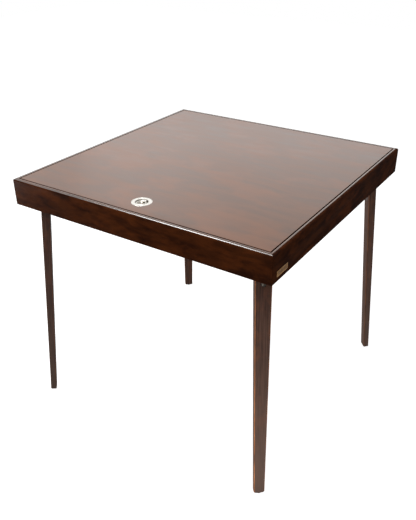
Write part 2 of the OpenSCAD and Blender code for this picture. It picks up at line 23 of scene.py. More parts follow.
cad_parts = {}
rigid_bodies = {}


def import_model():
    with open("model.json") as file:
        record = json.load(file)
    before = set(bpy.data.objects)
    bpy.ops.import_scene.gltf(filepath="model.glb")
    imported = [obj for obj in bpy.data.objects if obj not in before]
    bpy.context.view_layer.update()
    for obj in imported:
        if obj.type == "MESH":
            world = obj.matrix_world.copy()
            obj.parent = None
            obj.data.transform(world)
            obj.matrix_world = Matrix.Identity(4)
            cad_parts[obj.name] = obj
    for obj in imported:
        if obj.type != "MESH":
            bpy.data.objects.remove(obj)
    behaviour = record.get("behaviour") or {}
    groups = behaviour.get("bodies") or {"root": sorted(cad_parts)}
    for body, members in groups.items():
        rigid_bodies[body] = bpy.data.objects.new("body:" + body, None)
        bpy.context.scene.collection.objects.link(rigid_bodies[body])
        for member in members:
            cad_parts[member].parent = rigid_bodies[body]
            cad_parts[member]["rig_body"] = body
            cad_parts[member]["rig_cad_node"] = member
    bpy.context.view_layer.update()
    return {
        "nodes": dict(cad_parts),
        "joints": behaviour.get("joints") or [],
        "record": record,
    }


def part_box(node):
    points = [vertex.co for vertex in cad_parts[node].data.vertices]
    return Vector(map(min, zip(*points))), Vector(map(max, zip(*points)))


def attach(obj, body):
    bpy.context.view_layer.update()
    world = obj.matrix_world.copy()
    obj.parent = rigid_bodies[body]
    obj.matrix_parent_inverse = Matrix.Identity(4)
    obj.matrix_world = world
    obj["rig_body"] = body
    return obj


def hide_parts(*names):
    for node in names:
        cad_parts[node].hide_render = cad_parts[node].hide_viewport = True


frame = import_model()

LOG = logging.getLogger("puzzle_table")
MM = 0.001
TINY = 0.01 * MM            # places that are no further apart than this count as one
PROUD = 2 * MM              # how far a cutter stands out of what it cuts
FACING = 0.9                # a face looks along an axis if this much of its normal does
QUARTER = math.pi / 2       # a quarter turn
GRAIN = "grain"
FRAME_BODY = "table_frame"
CORNERS = ("front_right", "back_right", "back_left", "front_left")
SIDES = ("front", "right", "back", "left")

Piece = bpy.types.Object
Point = tuple[float, float]
Pair = tuple[float, float]
Triple = tuple[float, float, float]
Test = Callable[[Vector], bool]


class Part(Enum):
    """What a selection in edit mode is made of."""

    VERTS = "VERT"
    EDGES = "EDGE"
    FACES = "FACE"


class Along(Enum):
    """The direction of the grain in a board, as a turn about Z."""

    X = 0.0
    Y = QUARTER


# ---------------------------------------------------------------- modelling


def anywhere(point: Vector) -> bool:
    """Passes every corner, for an operator that works on all of a piece."""
    return True


def clear_selection() -> None:
    """Leaves edit mode and deselects every object."""
    if bpy.context.mode != "OBJECT":
        bpy.ops.object.mode_set(mode="OBJECT")
    bpy.ops.object.select_all(action="DESELECT")


def activate(piece: Piece) -> None:
    """Makes a piece the only selected object and the active one.

    Args:
        piece: The piece.
    """
    clear_selection()
    piece.select_set(True)
    bpy.context.view_layer.objects.active = piece


def settle(piece: Piece, place: Matrix | None = None) -> Piece:
    """Puts the place of a piece into its mesh, so that its object sits at the origin.

    Args:
        piece: The object to settle.
        place: Where the mesh goes after that, or None to leave it where it is.

    Returns:
        The same piece.
    """
    piece.data.transform(piece.matrix_basis)
    piece.matrix_basis = Matrix.Identity(4)
    if place is not None:
        piece.data.transform(place)
    piece.data.update()
    return piece


def started(name: str, place: Matrix | None = None) -> Piece:
    """Names the primitive that was just added and settles it.

    Args:
        name: The name of the object.
        place: Where its mesh goes.

    Returns:
        The object.
    """
    piece = bpy.context.object
    piece.name = piece.data.name = name
    return settle(piece, place)


@contextmanager
def editing(piece: Piece) -> Iterator[bmesh.types.BMesh]:
    """Opens a piece in edit mode for as long as a block runs.

    Args:
        piece: The piece.

    Yields:
        Its edit mesh.
    """
    activate(piece)
    bpy.ops.object.mode_set(mode="EDIT")
    yield bmesh.from_edit_mesh(piece.data)
    bpy.ops.object.mode_set(mode="OBJECT")


def pick(piece: Piece, part: Part, test: Test) -> int:
    """Selects, in edit mode, the elements whose every corner passes a test.

    Args:
        piece: The piece that is open in edit mode.
        part: Whether vertices, edges or faces are selected.
        test: Says whether a corner's place belongs to the selection.

    Returns:
        How many elements are selected.
    """
    bpy.ops.mesh.select_mode(type=part.value)
    bpy.ops.mesh.select_all(action="DESELECT")
    mesh = bmesh.from_edit_mesh(piece.data)
    group = {Part.VERTS: mesh.verts, Part.EDGES: mesh.edges, Part.FACES: mesh.faces}[part]
    found = 0
    for element in group:
        corners = [element] if part is Part.VERTS else element.verts
        if all(test(corner.co) for corner in corners):
            element.select_set(True)
            found += 1
    mesh.select_flush_mode()
    bmesh.update_edit_mesh(piece.data)
    return found


def cut(piece: Piece, point: Sequence[float], normal: Sequence[float],
        clear: bool = False) -> None:
    """Bisects a whole piece with a plane.

    Args:
        piece: The piece to cut.
        point: A point of the plane.
        normal: The plane's normal.
        clear: Whether what lies on the normal's side goes, and the cut is closed.
    """
    with editing(piece):
        bpy.ops.mesh.select_mode(type="FACE")
        bpy.ops.mesh.select_all(action="SELECT")
        bpy.ops.mesh.bisect(plane_co=point, plane_no=normal, use_fill=clear, clear_outer=clear)


def ease(piece: Piece, part: Part, test: Test, width: float, steps: int) -> None:
    """Rounds the edges, or in a flat section the corners, that pass a test.

    Args:
        piece: The piece to round.
        part: EDGES on a solid, VERTS in a flat section.
        test: Says whether a corner's place belongs to what is rounded.
        width: How far the round reaches from the edge.
        steps: Faces across the round.
    """
    with editing(piece):
        if pick(piece, part, test):
            affect = "VERTICES" if part is Part.VERTS else "EDGES"
            bpy.ops.mesh.bevel(offset=width, segments=steps, affect=affect, clamp_overlap=True)


def squeeze(height: float, x: float, y: float) -> None:
    """Scales what is selected in x and y about the point of the Z axis at a height."""
    bpy.ops.transform.resize(value=(x, y, 1), center_override=(0, 0, height))


def tidy_mesh(piece: Piece, gap: float = 0.001 * MM) -> None:
    """Merges doubled points and turns every face outwards.

    Args:
        piece: The piece.
        gap: How far apart two points may lie that become one.
    """
    with editing(piece):
        bpy.ops.mesh.select_all(action="SELECT")
        bpy.ops.mesh.remove_doubles(threshold=gap)
        bpy.ops.mesh.normals_make_consistent(inside=False)


def smooth(piece: Piece, degrees: float = 35) -> None:
    """Shades a piece smooth across every edge flatter than an angle."""
    activate(piece)
    bpy.ops.object.shade_smooth_by_angle(angle=math.radians(degrees))


def add_box(name: str, low: Sequence[float], high: Sequence[float]) -> Piece:
    """Adds a box as a start for a piece or a cutter.

    Args:
        name: The name of the object.
        low: Its lowest corner.
        high: Its highest corner.

    Returns:
        The box, with its place in its mesh.
    """
    clear_selection()
    low, high = Vector(low), Vector(high)
    bpy.ops.mesh.primitive_cube_add(size=1, location=(low + high) / 2, scale=high - low)
    return started(name)


def add_cylinder(name: str, radius: float, low: float, high: float, sides: int,
                 place: Matrix | None = None) -> Piece:
    """Adds a cylinder about Z as a start for a piece or a cutter.

    Args:
        name: The name of the object.
        radius: Its radius.
        low: The height of its lower end.
        high: The height of its upper end.
        sides: Faces round it.
        place: Where the mesh goes.

    Returns:
        The cylinder, with its place in its mesh.
    """
    clear_selection()
    bpy.ops.mesh.primitive_cylinder_add(
        vertices=sides, radius=radius, depth=high - low, location=(0, 0, (low + high) / 2))
    return started(name, place)


def turned(name: str, outline: Sequence[Point], steps: int) -> Piece:
    """Spins an outline round Z, as on a lathe.

    Args:
        name: The name of the object.
        outline: Radius and height of each point, from the axis round to the axis.
        steps: Faces round the piece.

    Returns:
        The closed piece.
    """
    clear_selection()
    bpy.ops.mesh.primitive_plane_add(size=1)
    piece = started(name)
    with editing(piece) as mesh:
        bpy.ops.mesh.delete(type="VERT")
        points = [mesh.verts.new((radius, 0, height)) for radius, height in outline]
        for start, end in zip(points, points[1:]):
            mesh.edges.new((start, end))
        bmesh.update_edit_mesh(piece.data)
        bpy.ops.mesh.select_all(action="SELECT")
        bpy.ops.mesh.spin(steps=steps, angle=math.tau, center=(0, 0, 0), axis=(0, 0, 1))
    tidy_mesh(piece)
    return piece


def arc(centre: Point, radius: float, start: float, end: float, steps: int) -> list[Point]:
    """Points of an arc, both ends included, for an outline.

    Args:
        centre: Its centre.
        radius: Its radius.
        start: The angle of its first point, in degrees.
        end: The angle of its last point, in degrees.
        steps: How many steps it takes.

    Returns:
        The points.
    """
    angles = [math.radians(start + (end - start) * step / steps) for step in range(steps + 1)]
    return [(centre[0] + radius * math.cos(a), centre[1] + radius * math.sin(a)) for a in angles]


def carve(piece: Piece, cutter: Piece) -> None:
    """Cuts the shape of one object out of a piece.

    Args:
        piece: The piece that is cut.
        cutter: The object whose shape is cut out. It is removed.
    """
    activate(piece)
    modifier = piece.modifiers.new("carve", "BOOLEAN")
    modifier.operation = "DIFFERENCE"
    modifier.solver = "EXACT"
    modifier.object = cutter
    bpy.ops.object.modifier_apply(modifier=modifier.name)
    bpy.data.objects.remove(cutter)


def join(name: str, pieces: Sequence[Piece]) -> Piece:
    """Joins several objects into one.

    Args:
        name: The name of the joined piece.
        pieces: What it is made of.

    Returns:
        The joined piece.
    """
    activate(pieces[0])
    for piece in pieces[1:]:
        piece.select_set(True)
    bpy.ops.object.join()
    pieces[0].name = pieces[0].data.name = name
    return pieces[0]


def copy_of(piece: Piece, name: str, place: Matrix | None = None) -> Piece:
    """Copies a piece with a mesh of its own.

    Args:
        piece: What is copied.
        name: The name of the copy.
        place: Where the copy's mesh goes.

    Returns:
        The copy.
    """
    made = piece.copy()
    made.data = piece.data.copy()
    made.name = made.data.name = name
    bpy.context.scene.collection.objects.link(made)
    return settle(made, place)


def spread(name: str, model: Piece, places: Sequence[Matrix]) -> Piece:
    """Copies a model to several places and joins the copies.

    Args:
        name: The name of the joined piece.
        model: What is copied. It is removed.
        places: Where each copy's mesh goes.

    Returns:
        The joined piece.
    """
    copies = [copy_of(model, f"{name}_{number}", place) for number, place in enumerate(places)]
    bpy.data.objects.remove(model)
    return join(name, copies)


def softened(node: str, width: float) -> Piece:
    """Copies a CAD node and breaks its sharp edges, as a file or a tumbler does.

    Args:
        node: The CAD node.
        width: The width of the broken edge.

    Returns:
        The new piece, at the node's place.
    """
    piece = copy_of(frame["nodes"][node], f"{node}_eased")
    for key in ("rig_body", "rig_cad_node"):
        del piece[key]
    piece.parent = None
    tidy_mesh(piece, TINY)
    with editing(piece):
        bpy.ops.mesh.select_all(action="SELECT")
        bpy.ops.mesh.dissolve_limited(angle_limit=math.radians(0.5))
    activate(piece)
    modifier = piece.modifiers.new("ease", "BEVEL")
    modifier.width = width
    modifier.segments = 2
    modifier.limit_method = "ANGLE"
    modifier.angle_limit = math.radians(30)
    bpy.ops.object.modifier_apply(modifier=modifier.name)
    smooth(piece)
    return piece


def mark_grain(piece: Piece, to_board: Matrix, start: Sequence[float]) -> None:
    """Stores where each point of a piece lies in its board, with X along the grain.

    A boolean drops the attribute, so this comes after the last one.

    Args:
        piece: The piece.
        to_board: Takes the piece's coordinates to the board's.
        start: Where in the board the piece is cut from, so that no two look alike.
    """
    cut_from = Matrix.Translation(start) @ to_board
    values = [value for vertex in piece.data.vertices for value in cut_from @ vertex.co]
    attribute = piece.data.attributes.new(GRAIN, "FLOAT_VECTOR", "POINT")
    attribute.data.foreach_set("vector", values)


# ---------------------------------------------------------------- finishes


def linear(colour: str) -> tuple[float, float, float, float]:
    """Turns an sRGB colour into the linear values that a shader takes.

    Args:
        colour: The colour in hex, as #rrggbb.

    Returns:
        Its linear red, green, blue and alpha.
    """
    parts = [int(colour[i:i + 2], 16) / 255 for i in (1, 3, 5)]
    red, green, blue = (
        part / 12.92 if part <= 0.04045 else ((part + 0.055) / 1.055) ** 2.4 for part in parts)
    return red, green, blue, 1.0


def empty_tree(owner: bpy.types.Material | bpy.types.World) -> bpy.types.NodeTree:
    """Gives a material or a world an empty node tree.

    Args:
        owner: The material or world.

    Returns:
        Its node tree.
    """
    owner.use_nodes = True
    owner.node_tree.nodes.clear()
    return owner.node_tree


def add_node(tree: bpy.types.NodeTree, kind: str, inputs: dict[Any, Any] | None = None,
             **settings: Any) -> bpy.types.Node:
    """Adds a shader node with its settings and links.

    Args:
        tree: The node tree.
        kind: The node's type, without the ShaderNode in front.
        inputs: For each input, by name or number, its value, the output of another node, or
            another node, which stands for its first output.
        settings: Properties of the node.

    Returns:
        The node.
    """
    node = tree.nodes.new(f"ShaderNode{kind}")
    for name, value in settings.items():
        setattr(node, name, value)
    for name, value in (inputs or {}).items():
        if isinstance(value, bpy.types.Node):
            value = value.outputs[0]
        if isinstance(value, bpy.types.NodeSocket):
            tree.links.new(value, node.inputs[name])
        else:
            node.inputs[name].default_value = value
    return node


def set_ramp(ramp: bpy.types.Node, *stops: tuple[float, str]) -> None:
    """Sets the stops of a colour ramp.

    Args:
        ramp: The ramp's node.
        stops: The position and the hex colour of each.
    """
    elements = ramp.color_ramp.elements
    while len(elements) < len(stops):
        elements.new(0.5)
    for element, (position, colour) in zip(elements, stops):
        element.position = position
        element.color = linear(colour)


@dataclass(frozen=True)
class Finish:
    """A finish, and the record's slot that it belongs to; each kind builds its own nodes."""

    name: str
    slot: str

    @cache
    def material(self) -> bpy.types.Material:
        """Makes the finish's material the first time that it is asked for.

        Returns:
            The material.
        """
        made = bpy.data.materials.new(self.name)
        tree = empty_tree(made)
        add_node(tree, "OutputMaterial", {"Surface": self.shader(tree)})
        return made

    def shader(self, tree: bpy.types.NodeTree) -> bpy.types.Node:
        """Builds the surface shader in a node tree and returns it."""
        raise NotImplementedError


@dataclass(frozen=True)
class StainedWood(Finish):
    """Stained hardwood under sprayed lacquer: long figure, short dark pores and warm blotches
    where the stain took unevenly, seen through a clear coat."""

    dark: str
    mid: str
    light: str
    warm: str
    figure_mm: float = 24.0         # width of the figure across the grain
    figure_run: float = 2.6         # how much longer it is along the grain
    figure_spread: float = 0.12     # how far the figure strays from its middle tone
    blotch_mm: float = 30.0         # size of a blotch in the stain
    blotch_run: float = 2.4
    blotch: float = 0.4             # the most that a blotch shows
    pore_mm: float = 0.9            # a pore, drawn about three times its real width so it shows
    pore_run: float = 26.0
    pore_depth: float = 0.35
    roughness: float = 0.42
    shine: float = 0.0              # Specular IOR Level of the wood below the coat
    coat: float = 1.0
    coat_roughness: float = 0.2
    painted_floor_sheen: str = ""               # painted light: the paler grey-brown it turns to towards the foot, a painted reflection of the lit floor
    floor_sheen_mm: Pair = (120.0, 640.0)  # where that starts and where it is whole
    floor_sheen: float = 0.75             # the most that it shows

    def shader(self, tree: bpy.types.NodeTree) -> bpy.types.Node:
        """Builds the wood from three sizes of stretched noise on the board's coordinates.

        Args:
            tree: The material's node tree.

        Returns:
            The shader's node.
        """
        board = add_node(tree, "Attribute", attribute_name=GRAIN).outputs["Vector"]

        def stretched(width_mm: float, run: float, detail: float, shift: float) -> bpy.types.Node:
            """Adds noise on the board's coordinates.

            Args:
                width_mm: Its real width across the grain.
                run: How much longer it is along the grain.
                detail: The noise's detail.
                shift: How far it is moved, so that no two noises share their peaks.

            Returns:
                The noise's node.
            """
            scale = 1 / (width_mm * MM)
            drawn = add_node(tree, "Mapping", {
                "Vector": board, "Scale": (scale / run, scale, scale), "Location": (shift,) * 3})
            return add_node(tree, "TexNoise", {
                "Vector": drawn, "Scale": 1.0, "Detail": detail, "Roughness": 0.55,
                "Distortion": 0.3})

        figure = stretched(self.figure_mm, self.figure_run, 5, 0.0)
        blotch = stretched(self.blotch_mm, self.blotch_run, 3, 7.3)
        pores = stretched(self.pore_mm, self.pore_run, 2, 3.1)
        ramp = add_node(tree, "ValToRGB", {"Fac": figure})
        set_ramp(ramp, (0.5 - self.figure_spread, self.dark), (0.5, self.mid),
                 (0.5 + self.figure_spread, self.light))
        spots = add_node(tree, "MapRange", {
            "Value": blotch, "From Min": 0.46, "From Max": 0.68, "To Min": 0.0,
            "To Max": self.blotch}, interpolation_type="SMOOTHSTEP")
        pits = add_node(tree, "MapRange", {
            "Value": pores, "From Min": 0.56, "From Max": 0.7, "To Min": 0.0,
            "To Max": self.pore_depth})
        layers = [(spots, self.warm), (pits, self.dark)]
        # Painted reflection of the lit floor: the colour fades to a paler grey-brown down towards
        # the foot
        if self.painted_floor_sheen:
            place = add_node(tree, "SeparateXYZ", {0: board})
            start, whole = self.floor_sheen_mm
            down = add_node(tree, "MapRange", {
                "Value": place, "From Min": -start * MM, "From Max": -whole * MM,
                "To Min": 0.0, "To Max": self.floor_sheen})
            layers.append((down, self.painted_floor_sheen))
        colour = ramp.outputs["Color"]
        for share, over in layers:
            colour = add_node(tree, "Mix", {0: share, 6: colour, 7: linear(over)},
                              data_type="RGBA").outputs[2]
        rough = add_node(tree, "MapRange", {
            "Value": figure, "From Min": 0.3, "From Max": 0.7,
            "To Min": self.roughness - 0.04, "To Max": self.roughness + 0.05})
        bump = add_node(tree, "Bump", {
            "Height": pits, "Strength": 0.12, "Distance": 0.0003}, invert=True)
        return add_node(tree, "BsdfPrincipled", {
            "Base Color": colour, "Roughness": rough, "IOR": 1.5,
            "Specular IOR Level": self.shine, "Coat Weight": self.coat,
            "Coat Roughness": self.coat_roughness, "Normal": bump})


@dataclass(frozen=True)
class BareWood(Finish):
    """Unfinished birch plywood or lath: pale, with soft straight figure and no gloss."""

    along: Along
    dark: str = "#a9835a"
    light: str = "#cfae82"
    figure_mm: float = 9.0
    figure_run: float = 22.0

    def shader(self, tree: bpy.types.NodeTree) -> bpy.types.Node:
        """Builds the wood on object coordinates, turned so that the figure runs one way.

        Args:
            tree: The material's node tree.

        Returns:
            The shader's node.
        """
        turn = add_node(tree, "Mapping", {
            "Vector": add_node(tree, "TexCoord").outputs["Object"],
            "Rotation": (0, 0, -self.along.value)})
        scale = 1 / (self.figure_mm * MM)
        drawn = add_node(tree, "Mapping", {
            "Vector": turn, "Scale": (scale / self.figure_run, scale, scale)})
        figure = add_node(tree, "TexNoise", {
            "Vector": drawn, "Scale": 1.0, "Detail": 6, "Roughness": 0.6})
        ramp = add_node(tree, "ValToRGB", {"Fac": figure})
        set_ramp(ramp, (0.35, self.dark), (0.65, self.light))
        bump = add_node(tree, "Bump", {"Height": figure, "Strength": 0.15, "Distance": 0.0004})
        return add_node(tree, "BsdfPrincipled", {
            "Base Color": ramp, "Roughness": 0.72, "Normal": bump})


@dataclass(frozen=True)
class Felt(Finish):
    """Pressed wool felt: matted fibre with no weave, soft and quite without gloss."""

    dark: str
    light: str
    fibre_mm: float = 1.6           # a tuft of fibre, drawn larger than life so it shows

    def shader(self, tree: bpy.types.NodeTree) -> bpy.types.Node:
        """Builds the felt from fine noise, with a little sheen at a low angle.

        Args:
            tree: The material's node tree.

        Returns:
            The shader's node.
        """
        fibre = add_node(tree, "TexNoise", {
            "Vector": add_node(tree, "TexCoord").outputs["Object"],
            "Scale": 1 / (self.fibre_mm * MM), "Detail": 5, "Roughness": 0.7,
            "Distortion": 1.5})
        ramp = add_node(tree, "ValToRGB", {"Fac": fibre})
        set_ramp(ramp, (0.3, self.dark), (0.7, self.light))
        bump = add_node(tree, "Bump", {"Height": fibre, "Strength": 0.5, "Distance": 0.0006})
        return add_node(tree, "BsdfPrincipled", {
            "Base Color": ramp, "Roughness": 0.95, "Sheen Weight": 0.35, "Sheen Roughness": 0.5,
            "Normal": bump})


@dataclass(frozen=True)
class Metal(Finish):
    """Plated or bare metal: a mirror or a satin, faintly marked by handling."""

    colour: str
    stain: str
    roughness: float
    spread: float                   # how much rougher it is where it has been handled
    mark_mm: float = 5.0            # size of a handling mark
    grain_mm: float = 0.8           # size of the fine texture
    relief: float = 0.05

    def shader(self, tree: bpy.types.NodeTree) -> bpy.types.Node:
        """Builds the metal, duller where it has been handled.

        Args:
            tree: The material's node tree.

        Returns:
            The shader's node.
        """
        place = add_node(tree, "TexCoord").outputs["Object"]
        marks = add_node(tree, "TexNoise", {
            "Vector": place, "Scale": 1 / (self.mark_mm * MM), "Detail": 4})
        fine = add_node(tree, "TexNoise", {
            "Vector": place, "Scale": 1 / (self.grain_mm * MM), "Detail": 2})
        ramp = add_node(tree, "ValToRGB", {"Fac": marks})
        set_ramp(ramp, (0.35, self.stain), (0.6, self.colour))
        rough = add_node(tree, "MapRange", {
            "Value": marks, "From Min": 0.3, "From Max": 0.7,
            "To Min": self.roughness + self.spread, "To Max": self.roughness})
        bump = add_node(tree, "Bump", {
            "Height": fine, "Strength": self.relief, "Distance": 0.0002})
        return add_node(tree, "BsdfPrincipled", {
            "Base Color": ramp, "Metallic": 1.0, "Roughness": rough, "Normal": bump})


@dataclass(frozen=True)
class Coated(Finish):
    """Steel under baked paint, or fibre sheet: an even colour with a fine orange-peel skin."""

    colour: str
    worn: str
    roughness: float
    peel_mm: float = 1.2            # size of the orange peel
    rub_mm: float = 50 / 3          # size of a rubbed patch
    relief: float = 0.15

    def shader(self, tree: bpy.types.NodeTree) -> bpy.types.Node:
        """Builds the coating, a little paler where it has been rubbed.

        Args:
            tree: The material's node tree.

        Returns:
            The shader's node.
        """
        place = add_node(tree, "TexCoord").outputs["Object"]
        peel = add_node(tree, "TexNoise", {
            "Vector": place, "Scale": 1 / (self.peel_mm * MM), "Detail": 2})
        rub = add_node(tree, "TexNoise", {
            "Vector": place, "Scale": 1 / (self.rub_mm * MM), "Detail": 5})
        ramp = add_node(tree, "ValToRGB", {"Fac": rub})
        set_ramp(ramp, (0.45, self.colour), (0.72, self.worn))
        bump = add_node(tree, "Bump", {
            "Height": peel, "Strength": self.relief, "Distance": 0.0002})
        return add_node(tree, "BsdfPrincipled", {
            "Base Color": ramp, "Roughness": self.roughness, "Normal": bump})


# Espresso-stained rails under a thin dull lacquer: nearly black, with orange-brown clouds
RAIL_WOOD = StainedWood(
    "espresso_stained_rail_wood", "stained_wood", "#281006", "#371909", "#43200c", "#602f12",
    figure_mm=22, figure_run=3.4, blotch_mm=34, blotch_run=2.2, coat=0.05, coat_roughness=0.3)
# The rails' flat top lip, painted paler than their faces: painted light on the top of the rail,
# with a satin sheen
LIP_WOOD_PAINTED_LIGHT = StainedWood(
    "lip_wood_painted_light", "stained_wood", "#513524", "#5b3c29", "#65452f", "#74492d",
    roughness=0.3, shine=0.2)
# The upper third of the rounded rim on the front and left rails, painted paler and glossier than
# the rest of the rail: a painted highlight that draws one bright line
RIM_HIGHLIGHT_WOOD = StainedWood(
    "rim_wood_painted_highlight", "stained_wood", "#332016", "#40281b", "#4b3122", "#633a20",
    roughness=0.24, shine=0.8, coat_roughness=0.1)
# The cover's veneer, glossier than the rails' faces: it mirrors the lamps as a broad soft sheen
COVER_WOOD = StainedWood(
    "espresso_stained_cover_veneer", "stained_wood", "#5d402f", "#654431", "#6b4935", "#7f4c2b",
    figure_run=5, blotch_mm=105, blotch_run=1.4, pore_depth=0.12, roughness=0.38, shine=0.5,
    coat=0.3, coat_roughness=0.22)
# Legs stained a paler brown under satin lacquer, painted a paler grey-brown towards the foot as a
# painted reflection of the lit floor
LEG_WOOD = StainedWood(
    "brown_stained_leg_wood", "leg_wood", "#3b2822", "#4f372d", "#5f453a", "#6a4230",
    figure_mm=2.6, figure_run=40, figure_spread=0.16, blotch_mm=18, blotch_run=2.2, blotch=0.5,
    pore_mm=0.6, pore_depth=0.5, coat=0.25, coat_roughness=0.28, painted_floor_sheen="#57473f")
# The same stain without the painted floor reflection, for the far leg that stands in shade under
# the table: a shaded copy that stays dark and warm
LEG_WOOD_SHADED = replace(LEG_WOOD, name="sheltered_brown_leg_wood", painted_floor_sheen="")
# The legs' arrises, painted a slightly paler, redder line: a painted highlight of the light from
# the left
LEG_EDGE_HIGHLIGHT = StainedWood(
    "sanded_leg_edge", "leg_wood", "#44291b", "#5c3a28", "#6f4a35", "#74482c",
    figure_mm=5, figure_run=14, blotch_mm=15, blotch_run=4, blotch=0.6, pore_depth=0.3,
    coat=0.2, coat_roughness=0.35)
# The same arrises on the near leg, painted a brighter orange-brown line: a stronger painted
# highlight
NEAR_LEG_EDGE_HIGHLIGHT = replace(LEG_EDGE_HIGHLIGHT, name="worn_leg_edge", dark="#5f3a27", mid="#945c38",
                   light="#ba7b52", warm="#ab683b")
# Raw birch plywood and lath inside the table: pale and matt, with straight tan figure
BIRCH_X = BareWood("birch_plywood", "plywood", Along.X)
# The same, cut so that the figure runs from front to back
BIRCH_Y = BareWood("birch_plywood_turned", "plywood", Along.Y)
# Dyed wool felt: a deep, soft bottle green that takes no highlight
GREEN_FELT = Felt("green_wool_felt", "felt", "#16301f", "#28503a")
# Polished chrome plate on brass: white where it mirrors the studio, grey in its cup and grooves
CHROME = Metal("polished_chrome_plate", "polished_chrome", "#d6d3cd", "#c6c3bc", 0.13, 0.08)
# Black nickel plate on bolt heads and glides: a dark warm mirror with a small highlight
NICKEL = Metal("black_nickel_plate", "nickel", "#524d47", "#403b36", 0.2, 0.08)
# Bright zinc plate on bolts, nuts and screws: a cool, cloudy half-gloss grey
ZINC = Metal("bright_zinc_plate", "zinc_steel", "#b9bcc0", "#8f9296", 0.32, 0.1, relief=0.15)
# Brass left to darken: a soft dull gold with browner patches
BRASS = Metal("aged_satin_brass", "aged_brass", "#bd915a", "#9d7444", 0.34, 0.12)
# The plate's sunk field, where polishing never reaches: flat brown brass inside a paler border
BRASS_FIELD = Metal(
    "browned_brass_field", "aged_brass", "#8c673e", "#6f4f2d", 0.42, 0.1, mark_mm=4)
# Brown baked paint on the legs' hardware: a low sheen that vanishes against the wood
BROWN_STEEL = Coated("brown_painted_steel", "bronzed_steel", "#3a2419", "#4c3222", 0.4)
# Pressed vulcanised fibre, in the washers: a thin line of matt brick red
FIBRE = Coated("vulcanised_fibre", "fibre", "#4a1f14", "#5a2a1c", 0.6)


def finish_piece(piece: Piece, finish: Finish, body: str, node: str) -> Piece:
    """Gives a piece its material and its body, and hides the CAD node that it stands for.

    Args:
        piece: The piece.
        finish: What it is made of.
        body: The CAD body it rides on.
        node: The CAD node it replaces.

    Returns:
        The same piece.
    """
    piece.data.materials.clear()
    piece.data.materials.append(finish.material())
    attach(piece, body)
    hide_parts(node)
    LOG.info("%s rides on %s", piece.name, body)
    return piece


def finish_nodes(body: str, *rows: tuple[str, float, Finish]) -> None:
    """Softens CAD nodes of one body and finishes them.

    Args:
        body: The CAD body they ride on.
        rows: For each node, its name, the width of its broken edges and its finish.
    """
    for node, width, finish in rows:
        finish_piece(softened(node, width), finish, body, node)


def vary(piece: Piece, finishes: Sequence[Finish],
         choose: Callable[[bpy.types.MeshPolygon], int]) -> None:
    """Gives some faces of a finished piece another finish.

    Args:
        piece: The piece.
        finishes: The finishes that it gets beside its own.
        choose: Gives a face's finish, 0 for the piece's own.
    """
    for finish in finishes:
        piece.data.materials.append(finish.material())
    for face in piece.data.polygons:
        face.material_index = choose(face)


# ---------------------------------------------------------------- table top


